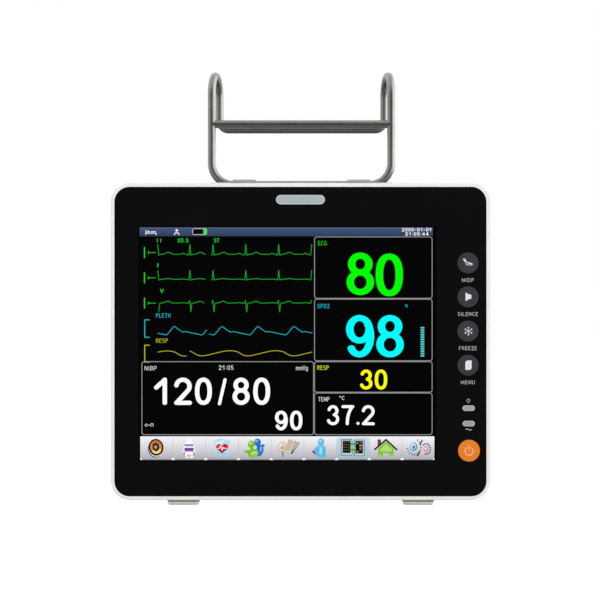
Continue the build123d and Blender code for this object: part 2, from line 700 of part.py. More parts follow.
def rear_housing():
    """White rear moulding with vents, speaker grille, connector openings, bosses and screw tunnels."""
    body = tapered_shell(0) - tapered_shell(WALL)
    body += housing_bosses() & tapered_shell(0.5)
    body -= housing_openings()
    body -= housing_holes()
    body += door_ears()
    return body - rod_x(PIN_BORE_X, DOOR_AXIS_DEPTH, DOOR_AXIS_Z, DOOR_PIN_RADIUS)


def housing_bosses():
    """Screw tunnels, insert bosses and the bosses under the handle."""
    bosses = Part()
    for x, rise in corners(CASE_SCREW_X, CASE_SCREW_RISE):
        bosses += rod_y(x, (SEAM_DEPTH, CASE_DEPTH), MIDDLE_Z + rise, CASE_BOSS_RADIUS)
    for x, rise in corners(VESA_HALF_PITCH, VESA_HALF_PITCH):
        bosses += rod_y(x, (CASE_DEPTH - 13, CASE_DEPTH), MIDDLE_Z + rise, INSERT_BOSS_RADIUS)
    for x, depth in stand_places():
        bosses += rod_z(x, depth, (HOUSING_BOTTOM, HOUSING_BOTTOM + 10), INSERT_BOSS_RADIUS)
    for x, depth in handle_screw_places():
        bosses += rod_z(x, depth, (HOUSING_TOP - 13, HOUSING_TOP), HANDLE_BOSS_RADIUS)
    for x, depth in foot_places():
        bosses += rod_z(x, depth, (HOUSING_BOTTOM, HOUSING_BOTTOM + 9), FOOT_BOSS_RADIUS)
    return bosses


def stand_places():
    """The rolling stand's screw places in the bottom, as (x, depth)."""
    return [(side * STAND_HALF_PITCH_X, depth) for side in SIDES for depth in STAND_DEPTHS]


def back_opening(size, x):
    """A rectangular cut through the back wall for a connector of this size."""
    width, height = [length + 2 * OPENING_GAP for length in size]
    return front_prism(Rectangle(width, height), x, BACK_CUT, PORTS_Z)


def housing_openings():
    """Everything cut through the walls."""
    door_xs = (-DOOR_HALF_WIDTH - DOOR_GAP, DOOR_HALF_WIDTH + DOOR_GAP)
    cuts = [
        block((-160, -140), BAY_DEPTHS, BAY_Z),
        block(door_xs, BACK_CUT, (DOOR_Z[0] - DOOR_GAP, DOOR_Z[1] + DOOR_GAP)),
        back_opening(INLET_BODY, INLET_X),
        back_opening(NETWORK_SIZE, NETWORK_X),
        rod_y(EARTH_X, BACK_CUT, PORTS_Z, EARTH_NECK_RADIUS),
    ]
    vent = Rot(0, 0, 90) * SlotOverall(*VENT_SLOT)
    for index in range(VENT_COUNT):
        x = (index - (VENT_COUNT - 1) / 2) * VENT_PITCH
        cuts.append(front_prism(vent, x, BACK_CUT, VENT_Z))
    for x, z in grille_places():
        cuts.append(rod_y(x, BACK_CUT, z, GRILLE_HOLE_RADIUS))
    return group(cuts)


def grille_places():
    """Hexagonal field of holes over the speaker."""
    places = []
    for row in range(-4, 5):
        for column in range(-5, 6):
            x = (column + (row % 2) / 2) * GRILLE_PITCH
            z = row * GRILLE_PITCH * math.sqrt(3) / 2
            if math.hypot(x, z) < SPEAKER_RADIUS - GRILLE_MARGIN:
                places.append((SPEAKER_X + x, SPEAKER_Z + z))
    return places


def housing_holes():
    """Screw tunnels, insert holes, the seal's groove and the holes under the handle and the feet."""
    holes = [seal_ring(0.0)]
    for x, rise in corners(CASE_SCREW_X, CASE_SCREW_RISE):
        z = MIDDLE_Z + rise
        holes.append(rod_y(x, (CASE_SCREW_SEAT, CASE_DEPTH + 1), z, SCREW_TUNNEL_RADIUS))
        holes.append(rod_y(x, (SEAM_DEPTH - 1, CASE_SCREW_SEAT), z, M4_SHANK_RADIUS + SCREW_HOLE_GAP))
    for x, rise in corners(VESA_HALF_PITCH, VESA_HALF_PITCH):
        depths = (CASE_DEPTH - INSERT_LENGTH - 2, CASE_DEPTH + 1)
        holes.append(rod_y(x, depths, MIDDLE_Z + rise, INSERT_RADIUS))
    for x, depth in stand_places():
        holes.append(rod_z(x, depth, (HOUSING_BOTTOM - 1, HOUSING_BOTTOM + INSERT_LENGTH), INSERT_RADIUS))
    for x, depth in handle_screw_places():
        holes.append(rod_z(x, depth, (HOUSING_TOP - 11, HOUSING_TOP + 1), M4_SHANK_RADIUS + 0.05))
    for x, depth in foot_places():
        holes.append(rod_z(x, depth, (HOUSING_BOTTOM - 1, HOUSING_BOTTOM + 8), M3_TAPPED_RADIUS))
    return group(fused(holes))


def fused(shapes):
    """Shapes joined into one, so that coaxial cuts don't count twice."""
    whole = Part()
    for shape in shapes:
        whole += shape
    return [whole]


def seal_ring(clearance):
    """Cord in the middle of the housing's front rim."""
    width = CASE_WIDTH - 2 * SEAM_STEP - WALL
    height = CASE_HEIGHT - 2 * SEAM_STEP - WALL
    corner = CASE_CORNER - SEAM_STEP - WALL / 2
    grow = SEAL_HALF_WIDTH
    outer = RectangleRounded(width + 2 * grow, height + 2 * grow, corner + grow)
    inner = RectangleRounded(width - 2 * grow, height - 2 * grow, corner - grow)
    depths = (SEAM_DEPTH, SEAM_DEPTH + SEAL_DEPTH - clearance)
    through = (SEAM_DEPTH - 1, SEAM_DEPTH + SEAL_DEPTH + 1)
    return front_prism(outer, 0, depths, MIDDLE_Z) - front_prism(inner, 0, through, MIDDLE_Z)


def housing_seal():
    return seal_ring(0.1)


def threaded_inserts():
    """Brass M4 inserts: case screws in the bezel, wall mount in the back, stand in the bottom."""
    sleeves = []
    for x, rise in corners(CASE_SCREW_X, CASE_SCREW_RISE):
        z = MIDDLE_Z + rise
        depths = (SEAM_DEPTH - INSERT_LENGTH, SEAM_DEPTH)
        sleeves.append(rod_y(x, depths, z, INSERT_RADIUS) - rod_y(x, depths, z, M4_SHANK_RADIUS + 0.05))
    for x, rise in corners(VESA_HALF_PITCH, VESA_HALF_PITCH):
        z = MIDDLE_Z + rise
        depths = (CASE_DEPTH - INSERT_LENGTH, CASE_DEPTH)
        sleeves.append(rod_y(x, depths, z, INSERT_RADIUS) - rod_y(x, depths, z, M4_TAPPED_RADIUS))
    for x, depth in stand_places():
        zs = (HOUSING_BOTTOM, HOUSING_BOTTOM + INSERT_LENGTH)
        sleeves.append(rod_z(x, depth, zs, INSERT_RADIUS) - rod_z(x, depth, zs, M4_TAPPED_RADIUS))
    return group(sleeves)


def case_screws():
    return group(
        Pos(x, y_at(CASE_SCREW_SEAT), MIDDLE_Z + rise) * FACING_BACK * m4_screw(11)
        for x, rise in corners(CASE_SCREW_X, CASE_SCREW_RISE)
    )


# ---- feet ------------------------------------------------------------------------------------
FOOT_TOP_SIZE = (29.3, 26.0)
FOOT_BOTTOM_SIZE = (24.8, 21.5)
FOOT_CORNER = 3.0
FOOT_SCREW_SINK = 2.0
FOOT_HEAD_RADIUS = 3.0
PAD_HEIGHT = 3.6


def foot_places():
    """Centre of every foot, as (x, depth)."""
    return [(side * FOOT_X, depth) for depth in FOOT_DEPTHS for side in SIDES]


def foot_section(z):
    """The foot's cross-section at a height: it narrows evenly towards the table."""
    share = z / HOUSING_BOTTOM
    width, length = [low + share * (high - low) for low, high in zip(FOOT_BOTTOM_SIZE, FOOT_TOP_SIZE)]
    return Pos(0, 0, z) * RectangleRounded(width, length, FOOT_CORNER)


def feet():
    """Moulded feet screwed to the housing; the soft pads below them carry the weight."""
    body = loft([foot_section(PAD_HEIGHT), foot_section(HOUSING_BOTTOM)], ruled=True)
    body -= Pos(0, 0, PAD_HEIGHT + FOOT_SCREW_SINK / 2) * Cylinder(FOOT_HEAD_RADIUS, FOOT_SCREW_SINK)
    body -= Pos(0, 0, HOUSING_BOTTOM) * Cylinder(M3_TAPPED_RADIUS + 0.1, 6)
    return group(Pos(x, y_at(depth), 0) * body for x, depth in foot_places())


def foot_pads():
    pad = loft([foot_section(0), foot_section(PAD_HEIGHT)], ruled=True)
    return group(Pos(x, y_at(depth), 0) * pad for x, depth in foot_places())


def foot_screws():
    return group(
        Pos(x, y_at(depth), PAD_HEIGHT + FOOT_SCREW_SINK) * FACING_DOWN * m3_screw(8)
        for x, depth in foot_places()
    )


# ---- handle ----------------------------------------------------------------------------------
def handle_point(x, back, up):
    """A point of the handle, measured from the middle of its hinge axis."""
    return (x, y_at(HINGE_DEPTH + back), HINGE_Z + up)


def handle_frame():
    """Closed ring of steel rod: hinge bar, front legs, loops over to the back, and the back bar."""
    chord = math.hypot(HANDLE_REACH, BACK_LEG_INWARD)
    shoulder = HANDLE_HEIGHT - chord / 2
    back_x = LEG_X - BACK_LEG_INWARD
    leg = bent_path(
        [handle_point(0, 0, 0), handle_point(LEG_X, 0, 0), handle_point(LEG_X, 0, shoulder)], [HINGE_CORNER]
    )
    loop = Edge.make_three_point_arc(
        handle_point(LEG_X, 0, shoulder),
        handle_point(LEG_X - BACK_LEG_INWARD / 2, HANDLE_REACH / 2, HANDLE_HEIGHT),
        handle_point(back_x, HANDLE_REACH, shoulder),
    )
    tail = bent_path(
        [
            handle_point(back_x, HANDLE_REACH, shoulder),
            handle_point(back_x, HANDLE_REACH, BAR_HEIGHT - BACK_BAR_DROP),
            handle_point(0, HANDLE_REACH, BAR_HEIGHT - BACK_BAR_DROP),
        ],
        [BACK_CORNER],
    )
    half = swept_rod(Wire(leg.edges() + [loop] + tail.edges()), ROD_RADIUS)
    return half + mirror(half, about=Plane.YZ)


def handle_crossbar():
    """Straight rod welded between the front legs."""
    bar = rod_x((-LEG_X, LEG_X), HINGE_DEPTH, HINGE_Z + BAR_HEIGHT, ROD_RADIUS - 0.02)
    for side in SIDES:
        leg_zs = (HINGE_Z + HINGE_CORNER, HINGE_Z + HANDLE_HEIGHT - HANDLE_REACH / 2)
        bar -= rod_z(side * LEG_X, HINGE_DEPTH, leg_zs, ROD_RADIUS)
    return bar.solids().sort_by(Axis.X)[len(bar.solids()) // 2]


def handle_screw_places():
    """Screws through the straps and the saddle, as (x, depth)."""
    reach = ROD_RADIUS + HINGE_CLEARANCE + STRAP_THICKNESS + STRAP_EAR / 2
    return [(side * STRAP_X, HINGE_DEPTH + way * reach) for side in SIDES for way in SIDES]


def handle_saddle():
    """Plate on the housing with cradles for the hinge bar and a rib that stops the handle upright."""
    plate_top = HOUSING_TOP + SADDLE_THICKNESS
    xs = (-SADDLE_HALF_WIDTH, SADDLE_HALF_WIDTH)
    body = block(xs, SADDLE_DEPTHS, (HOUSING_TOP, plate_top))
    body = fillet(body.edges().filter_by(Axis.Z), 4)
    rib_back = HINGE_DEPTH - ROD_RADIUS - STOP_GAP
    body += block(xs, (rib_back - STOP_THICKNESS, rib_back), (plate_top - 1, HINGE_Z + STOP_RISE))
    seat = ROD_RADIUS + HINGE_CLEARANCE
    for side in SIDES:
        strap_xs = (side * STRAP_X - STRAP_WIDTH / 2 - 0.5, side * STRAP_X + STRAP_WIDTH / 2 + 0.5)
        body -= block(strap_xs, (rib_back - 5, rib_back + 1), (plate_top, HINGE_Z + 5))
        cradle_zs = (plate_top - 1, HINGE_Z - CRADLE_BELOW_AXIS)
        body += block(strap_xs, (HINGE_DEPTH - seat, HINGE_DEPTH + seat), cradle_zs)
    body -= rod_x((-SADDLE_HALF_WIDTH - 1, SADDLE_HALF_WIDTH + 1), HINGE_DEPTH, HINGE_Z, seat)
    for x, depth in handle_screw_places():
        body -= rod_z(x, depth, (HOUSING_TOP - 1, plate_top + 1), M4_SHANK_RADIUS + SCREW_HOLE_GAP)
    return body


def handle_straps():
    """Two steel straps that hold the hinge bar down."""
    return group(handle_strap(side * STRAP_X) for side in SIDES)


def handle_strap(x):
    """Strap bent over the bar, with an ear and a screw hole on each side."""
    xs = (x - STRAP_WIDTH / 2, x + STRAP_WIDTH / 2)
    inner = ROD_RADIUS + HINGE_CLEARANCE
    outer = inner + STRAP_THICKNESS
    ear_bottom = HOUSING_TOP + SADDLE_THICKNESS
    body = rod_x(xs, HINGE_DEPTH, HINGE_Z, outer)
    body += block(xs, (HINGE_DEPTH - outer, HINGE_DEPTH + outer), (ear_bottom, HINGE_Z))
    ears = (HINGE_DEPTH - outer - STRAP_EAR, HINGE_DEPTH + outer + STRAP_EAR)
    body += block(xs, ears, (ear_bottom, ear_bottom + STRAP_THICKNESS))
    through = (xs[0] - 1, xs[1] + 1)
    body -= rod_x(through, HINGE_DEPTH, HINGE_Z, inner)
    body -= block(through, (HINGE_DEPTH - inner, HINGE_DEPTH + inner), (ear_bottom - 2, HINGE_Z))
    body &= block(xs, ears, (ear_bottom, HINGE_Z + outer + 1))
    for screw_x, depth in handle_screw_places():
        body -= rod_z(screw_x, depth, (ear_bottom - 1, ear_bottom + 5), M4_SHANK_RADIUS + SCREW_HOLE_GAP)
    return body


def handle_screws():
    seat = HOUSING_TOP + SADDLE_THICKNESS + STRAP_THICKNESS
    return group(Pos(x, y_at(depth), seat) * m4_screw(12) for x, depth in handle_screw_places())


# ---- patient connectors ----------------------------------------------------------------------
def connector_panel():
    """Recessed plate behind the side opening, shaped to the housing's sloping wall, with board posts."""
    front, back = BAY_DEPTHS[0] - BAY_LIP, BAY_DEPTHS[1] + BAY_LIP
    low, high = BAY_Z[0] - BAY_LIP, BAY_Z[1] + BAY_LIP
    outline = Polyline(
        (WALL - half_width(front), y_at(front)),
        (WALL - half_width(back), y_at(back)),
        (BAY_PLATE_BACK_X, y_at(back)),
        (BAY_PLATE_BACK_X, y_at(front)),
        close=True,
    )
    body = extrude(Plane.XY.offset(low) * make_face(outline), high - low)
    body -= block((-170, BAY_PLATE_FRONT_X), BAY_DEPTHS, BAY_Z)
    for depth, z in parameter_posts():
        body += rod_x((BAY_PLATE_BACK_X - 1, PARAMETER_BOARD_X[0]), depth, z, 3)
        body -= rod_x((PARAMETER_BOARD_X[0] - 9, PARAMETER_BOARD_X[0]), depth, z, M3_TAPPED_RADIUS)
    for z, radius in ((ECG_Z, 10), (SPO2_Z, 8), (NIBP_Z, 5), (TEMP_Z[0], 4.5), (TEMP_Z[1], 4.5)):
        body -= rod_x((-150, -140), SOCKET_DEPTH, z, radius)
    return body


def parameter_posts():
    """Posts that carry the measuring board, as (depth, z)."""
    return [(depth, z) for depth in PARAMETER_POST_DEPTHS for z in PARAMETER_POST_Z]


def side_socket(z, flange_radius, body_radius, back_x, bore_radius, pins):
    """Round panel socket facing left: flange, body through the plate, and a well with contact holes."""
    flange_front = BAY_PLATE_FRONT_X - 3.0
    body = rod_x((flange_front, BAY_PLATE_FRONT_X), SOCKET_DEPTH, z, flange_radius)
    body = fillet(body.edges().sort_by(Axis.X)[0], 0.8)
    body += rod_x((BAY_PLATE_FRONT_X - 0.1, back_x), SOCKET_DEPTH, z, body_radius)
    body -= rod_x((flange_front - 1, flange_front + 9), SOCKET_DEPTH, z, bore_radius)
    contact = rod_x((flange_front + 3, flange_front + 9.5), SOCKET_DEPTH, z, 0.55)
    for index in range(pins):
        angle = 2 * math.pi * index / pins
        across = math.cos(angle) * bore_radius * 0.62
        up = math.sin(angle) * bore_radius * 0.62
        body += Pos(0, across, up) * contact
    return body


def ecg_socket():
    return side_socket(ECG_Z, 12.5, 10, -126, 8.0, 12)


def spo2_socket():
    return side_socket(SPO2_Z, 10.5, 8, -126, 6.2, 7)


def temp_sockets():
    return group(side_socket(z, 6.5, 4.5, -128, 3.2, 0) for z in TEMP_Z)


def nibp_port():
    """Metal air connector: hexagonal nut outside, hose barb inside, bored right through."""
    nut = extrude(Plane.YZ.offset(BAY_PLATE_FRONT_X - 3) * RegularPolygon(8, 6), 3)
    body = Pos(0, y_at(SOCKET_DEPTH), NIBP_Z) * nut
    body += rod_x((BAY_PLATE_FRONT_X - 3.6, BAY_PLATE_FRONT_X), SOCKET_DEPTH, NIBP_Z, 5)
    body += rod_x((BAY_PLATE_FRONT_X - 0.1, BAY_PLATE_BACK_X + 2), SOCKET_DEPTH, NIBP_Z, 5)
    body += rod_x((BAY_PLATE_BACK_X, HOSE_START_X + 7), SOCKET_DEPTH, NIBP_Z, HOSE_BORE)
    body -= rod_x((-155, -120), SOCKET_DEPTH, NIBP_Z, 1.4)
    return body - rod_x((-155, BAY_PLATE_FRONT_X + 3), SOCKET_DEPTH, NIBP_Z, 2.6)


def parameter_board():
    """Isolated measuring board standing on the connector plate's posts."""
    board = block(PARAMETER_BOARD_X, PARAMETER_BOARD_DEPTHS, PARAMETER_BOARD_Z)
    for depth, z in parameter_posts():
        through = (PARAMETER_BOARD_X[0] - 1, PARAMETER_BOARD_X[1] + 1)
        board -= rod_x(through, depth, z, M3_TAPPED_RADIUS)
    return board


def parameter_shield():
    """Tinned screening can over the measuring board."""
    outer = block((PARAMETER_BOARD_X[1], SHIELD_BACK_X), SHIELD_DEPTHS, SHIELD_Z)
    inner_xs = (PARAMETER_BOARD_X[1] - 1, SHIELD_BACK_X - SHIELD_WALL)
    inner_depths = (SHIELD_DEPTHS[0] + SHIELD_WALL, SHIELD_DEPTHS[1] - SHIELD_WALL)
    return outer - block(inner_xs, inner_depths, (SHIELD_Z[0] + SHIELD_WALL, SHIELD_Z[1] - SHIELD_WALL))


# ---- blood pressure pneumatics ---------------------------------------------------------------
PUMP_X = (30.0, 85.0)
PUMP_DEPTH = 75.0
PUMP_Z = 130.0
PUMP_RADIUS = 14.0
HOSE_BORE = 2.5
HOSE_RADIUS = 4.0
HOSE_START_X = -141.0
HOSE_RUN_DEPTH = 94.0
VALVE_X = (94.0, 114.0)
MOUNT_FRONT = 86.5


def nibp_pump():
    """Air pump: motor can, head and two nozzles."""
    body = rod_x((PUMP_X[0] + 20, PUMP_X[1]), PUMP_DEPTH, PUMP_Z, PUMP_RADIUS)
    body += rod_x((PUMP_X[0], PUMP_X[0] + 20), PUMP_DEPTH, PUMP_Z, PUMP_RADIUS - 1.5)
    nozzle = rod_x((PUMP_X[0] - 7, PUMP_X[0] + 1), PUMP_DEPTH, PUMP_Z, HOSE_BORE)
    return body + nozzle + rod_x((PUMP_X[1] - 1, PUMP_X[1] + 3), PUMP_DEPTH, PUMP_Z, HOSE_BORE)


def pump_mount():
    """Rubber cradle that holds the pump and the valve off the back wall."""
    body = block((PUMP_X[0] + 24, VALVE_X[1]), (MOUNT_FRONT, INNER_BACK), (PUMP_Z - 10, PUMP_Z + 10))
    return body - rod_x((PUMP_X[0], PUMP_X[1] + 0.5), PUMP_DEPTH, PUMP_Z, PUMP_RADIUS)


def nibp_valve():
    """Release valve: coil block with an air nozzle."""
    body = block(VALVE_X, (68, MOUNT_FRONT), (PUMP_Z - 8, PUMP_Z + 8))
    body = fillet(body.edges().filter_by(Axis.Y), 1.5)
    return body + rod_x((VALVE_X[0] - 3, VALVE_X[0] + 1), PUMP_DEPTH, PUMP_Z, HOSE_BORE)


def nibp_hose():
    """Air hoses: patient port to pump, and pump to release valve."""
    turn_x = -129.0
    end_x = 12.0
    points = [
        (HOSE_START_X, y_at(SOCKET_DEPTH), NIBP_Z),
        (turn_x, y_at(SOCKET_DEPTH), NIBP_Z),
        (turn_x, y_at(HOSE_RUN_DEPTH), NIBP_Z),
        (end_x, y_at(HOSE_RUN_DEPTH), NIBP_Z),
        (end_x, y_at(PUMP_DEPTH), PUMP_Z),
        (PUMP_X[0] - 1, y_at(PUMP_DEPTH), PUMP_Z),
    ]
    long_hose = swept_rod(bent_path(points, [5, 8, 8, 8]), HOSE_RADIUS, HOSE_BORE)
    short_xs = (PUMP_X[1], VALVE_X[0])
    short_hose = rod_x(short_xs, PUMP_DEPTH, PUMP_Z, HOSE_RADIUS)
    return group([long_hose, short_hose - rod_x(short_xs, PUMP_DEPTH, PUMP_Z, HOSE_BORE)])


# ---- speaker and back connectors -------------------------------------------------------------
def speaker():
    """Round loudspeaker behind the grille: basket rim, cone housing and magnet."""
    rim = rod_y(SPEAKER_X, (INNER_BACK - 3, INNER_BACK), SPEAKER_Z, SPEAKER_RADIUS)
    rim -= rod_y(SPEAKER_X, (INNER_BACK - 1.5, INNER_BACK + 1), SPEAKER_Z, SPEAKER_RADIUS - 4)
    cone = Pos(SPEAKER_X, y_at(INNER_BACK - 7.5), SPEAKER_Z) * FACING_BACK
    rim += cone * Cone(SPEAKER_RADIUS - 10, SPEAKER_RADIUS - 3, 9)
    magnet = rod_y(SPEAKER_X, (INNER_BACK - 20, INNER_BACK - 11), SPEAKER_Z, 14)
    return rim + magnet


def mains_inlet():
    """Panel inlet for a mains lead: flange, body, well and three contacts."""
    flange_depths = (CASE_DEPTH, CASE_DEPTH + INLET_FLANGE_THICKNESS)
    body = front_prism(RectangleRounded(*INLET_FLANGE, 4), INLET_X, flange_depths, PORTS_Z)
    body += front_prism(Rectangle(*INLET_BODY), INLET_X, (INLET_FRONT, CASE_DEPTH + 1), PORTS_Z)
    well = Rectangle(*INLET_WELL)
    well = chamfer(well.vertices().sort_by(Axis.Y)[-2:], 4)
    floor = CASE_DEPTH - INLET_WELL_DEPTH
    body -= front_prism(well, INLET_X, (floor, CASE_DEPTH + 5), PORTS_Z)
    for x, rise in INLET_BLADES:
        body += front_prism(Rectangle(2, 4), INLET_X + x, (floor - 1, CASE_DEPTH - 1), PORTS_Z + rise)
    for side in SIDES:
        through = (CASE_DEPTH - 1, CASE_DEPTH + 5)
        body -= rod_y(INLET_X + side * INLET_SCREW_X, through, PORTS_Z, M3_TAPPED_RADIUS + 0.1)
    return body


def inlet_screws():
    """Screws through the inlet's flange into the back wall."""
    seat = y_at(CASE_DEPTH + INLET_FLANGE_THICKNESS)
    screw_below_head = m3_screw(INLET_FLANGE_THICKNESS - 0.1)
    return group(
        Pos(INLET_X + side * INLET_SCREW_X, seat, PORTS_Z) * FACING_BACK * screw_below_head for side in SIDES
    )


def network_socket():
    """Network jack: metal-cased body with a stepped plug opening and eight contacts."""
    depths = (NETWORK_FRONT, CASE_DEPTH + 0.4)
    body = front_prism(Rectangle(*NETWORK_SIZE), NETWORK_X, depths, PORTS_Z)
    opening = (NETWORK_FLOOR, CASE_DEPTH + 2)
    body -= block((NETWORK_X - 5.9, NETWORK_X + 5.9), opening, (PORTS_Z - 3.6, PORTS_Z + 3.2))
    body -= block((NETWORK_X - 3.1, NETWORK_X + 3.1), opening, (PORTS_Z - 5.4, PORTS_Z - 3.6))
    for index in range(8):
        x = NETWORK_X + (index - 3.5) * NETWORK_CONTACT_PITCH
        contact = (x - 0.2, x + 0.2)
        body += block(contact, (NETWORK_FLOOR - 1, NETWORK_FLOOR + 9), (PORTS_Z + 2.2, PORTS_Z + 2.7))
        body += block(contact, (NETWORK_FLOOR - 1, NETWORK_FLOOR + 1), (PORTS_Z + 2.2, PORTS_Z + 3.4))
    return body


def earth_terminal():
    """Potential equalisation pin with its collar outside and nut inside."""
    nut_front = INNER_BACK - EARTH_NUT_THICKNESS
    body = rod_y(EARTH_X, (nut_front, CASE_DEPTH), PORTS_Z, EARTH_NECK_RADIUS)
    body += rod_y(EARTH_X, (CASE_DEPTH, CASE_DEPTH + 2), PORTS_Z, EARTH_COLLAR_RADIUS)
    body += front_prism(RegularPolygon(8, 6), EARTH_X, (nut_front, INNER_BACK), PORTS_Z)
    pin = rod_y(EARTH_X, (CASE_DEPTH + 1, CASE_DEPTH + 2 + EARTH_PIN_LENGTH), PORTS_Z, EARTH_PIN_RADIUS)
    return body + fillet(pin.edges().sort_by(Axis.Y)[-1], 0.8)


WIRE_PITCH = 7.0
WIRE_RADIUS = 1.4


def mains_cable():
    """Three insulated wires from the inlet to the power supply board."""
    wires = []
    for index in range(3):
        x = INLET_X + (index - 1) * WIRE_PITCH
        target_x = SUPPLY_HEADER[0] + (index - 1) * WIRE_PITCH
        points = [
            (x, y_at(INLET_FRONT), PORTS_Z + 4),
            (x, y_at(INLET_FRONT - 12), PORTS_Z + 4),
            (target_x, y_at(58), SUPPLY_HEADER[1]),
            (target_x, y_at(BOARD_BACK + SUPPLY_HEADER[4]), SUPPLY_HEADER[1]),
        ]
        wires.append(swept_rod(bent_path(points, [5, 5]), WIRE_RADIUS))
    return group(wires)


# ---- battery ---------------------------------------------------------------------------------
TRAY_HALF_WIDTH = 57.0
TRAY_DEPTHS = (48.0, 98.5)
TRAY_Z = (19.0, 69.0)
TRAY_WALL = 1.5
PACK_HALF_WIDTH = 52.0
PACK_DEPTHS = (53.0, 96.0)
PACK_Z = (23.0, 63.0)


def battery_tray():
    """Moulded pocket behind the door, open to the back, standing on four pads."""
    xs = (-TRAY_HALF_WIDTH, TRAY_HALF_WIDTH)
    body = block(xs, TRAY_DEPTHS, TRAY_Z)
    inner_xs = (xs[0] + TRAY_WALL, xs[1] - TRAY_WALL)
    inner_zs = (TRAY_Z[0] + TRAY_WALL, TRAY_Z[1] - TRAY_WALL)
    body -= block(inner_xs, (TRAY_DEPTHS[0] + TRAY_WALL, 110), inner_zs)
    for side in SIDES:
        pad_xs = (side * STAND_HALF_PITCH_X - 5, side * STAND_HALF_PITCH_X + 5)
        body += block(pad_xs, (83, 93), (HOUSING_BOTTOM + 10, TRAY_Z[0] + 1))
        body += block(pad_xs, (50, 56), (HOUSING_BOTTOM + WALL, TRAY_Z[0] + 1))
    return body


def battery_pack():
    """Rechargeable pack with its contact strip."""
    body = block((-PACK_HALF_WIDTH, PACK_HALF_WIDTH), PACK_DEPTHS, PACK_Z)
    body = fillet(body.edges().filter_by(Axis.X), 3)
    return body + block((-20, 20), (PACK_DEPTHS[0] - 2, PACK_DEPTHS[0] + 1), (38, 48))


def battery_door():
    """Door hinged along its bottom edge, with a rolled edge around the pin and a finger ridge."""
    xs = (-DOOR_HALF_WIDTH, DOOR_HALF_WIDTH)
    body = block(xs, (INNER_BACK, CASE_DEPTH), (DOOR_AXIS_Z, DOOR_Z[1]))
    body += rod_x(xs, DOOR_AXIS_DEPTH, DOOR_AXIS_Z, DOOR_ROLL_RADIUS)
    ridge_zs = (DOOR_Z[1] - 12, DOOR_Z[1] - 9)
    body += block((-RIDGE_HALF_WIDTH, RIDGE_HALF_WIDTH), (INNER_BACK - 2.5, INNER_BACK), ridge_zs)
    for below_top in GRIP_SLOTS_BELOW_TOP:
        slot_depths = (CASE_DEPTH - GRIP_SLOT_DEPTH, CASE_DEPTH + 1)
        body -= front_prism(SlotOverall(*GRIP_SLOT), 0, slot_depths, DOOR_Z[1] - below_top)
    body -= rod_x(PIN_BORE_X, DOOR_AXIS_DEPTH, DOOR_AXIS_Z, DOOR_PIN_RADIUS + DOOR_PIN_CLEARANCE)
    for side in SIDES:
        notch = tuple(sorted(side * (x + grow) for x, grow in zip(DOOR_EAR_X, (-0.5, 0.5))))
        body -= block(notch, (98, 105), (DOOR_Z[0] - 1, DOOR_AXIS_Z + DOOR_ROLL_RADIUS + 0.5))
    return body


def door_ears():
    """Two ears on the housing that hold the door's pin."""
    ears = Part()
    for side in SIDES:
        xs = tuple(sorted(side * x for x in DOOR_EAR_X))
        ears += rod_x(xs, DOOR_AXIS_DEPTH, DOOR_AXIS_Z, DOOR_ROLL_RADIUS)
        depths = (DOOR_AXIS_DEPTH - DOOR_ROLL_RADIUS, DOOR_AXIS_DEPTH + DOOR_ROLL_RADIUS)
        ears += block(xs, depths, (DOOR_Z[0] - 3, DOOR_AXIS_Z))
    return ears


def battery_door_pin():
    xs = (-DOOR_PIN_HALF_LENGTH, DOOR_PIN_HALF_LENGTH)
    return rod_x(xs, DOOR_AXIS_DEPTH, DOOR_AXIS_Z, DOOR_PIN_RADIUS)


# ---- write every node ------------------------------------------------------------------------
NODES = [
    front_bezel,
    front_panel,
    display_glass,
    panel_tape,
    lcd_module,
    lcd_screws,
    alarm_lens,
    lamp_lenses,
    key_board,
    key_switches,
    indicator_leds,
    alarm_board,
    front_board_screws,
    chassis_plate,
    chassis_screws,
    board_standoffs,
    board_screws,
    main_board,
    main_board_parts,
    power_supply_board,
    power_supply_parts,
    display_ribbon_cable,
    rear_housing,
    housing_seal,
    threaded_inserts,
    case_screws,
    feet,
    foot_pads,
    foot_screws,
    handle_frame,
    handle_crossbar,
    handle_saddle,
    handle_straps,
    handle_screws,
    connector_panel,
    ecg_socket,
    spo2_socket,
    nibp_port,
    temp_sockets,
    parameter_board,
    parameter_shield,
    nibp_pump,
    pump_mount,
    nibp_valve,
    nibp_hose,
    speaker,
    mains_inlet,
    inlet_screws,
    mains_cable,
    network_socket,
    earth_terminal,
    battery_tray,
    battery_pack,
    battery_door,
    battery_door_pin,
]


def all_nodes():
    """Node name to its solid or solids."""
    shapes = {make.__name__: make() for make in NODES}
    for name, rise in KEY_RISES.items():
        shapes[name] = key_cap(KEY_X, rise, KEY_RADIUS)
    shapes["power_button"] = key_cap(POWER_X, POWER_RISE, POWER_RADIUS)
    return shapes


os.makedirs("parts", exist_ok=True)
for node, shape in all_nodes().items():
    export_step(shape, f"parts/{node}.step")
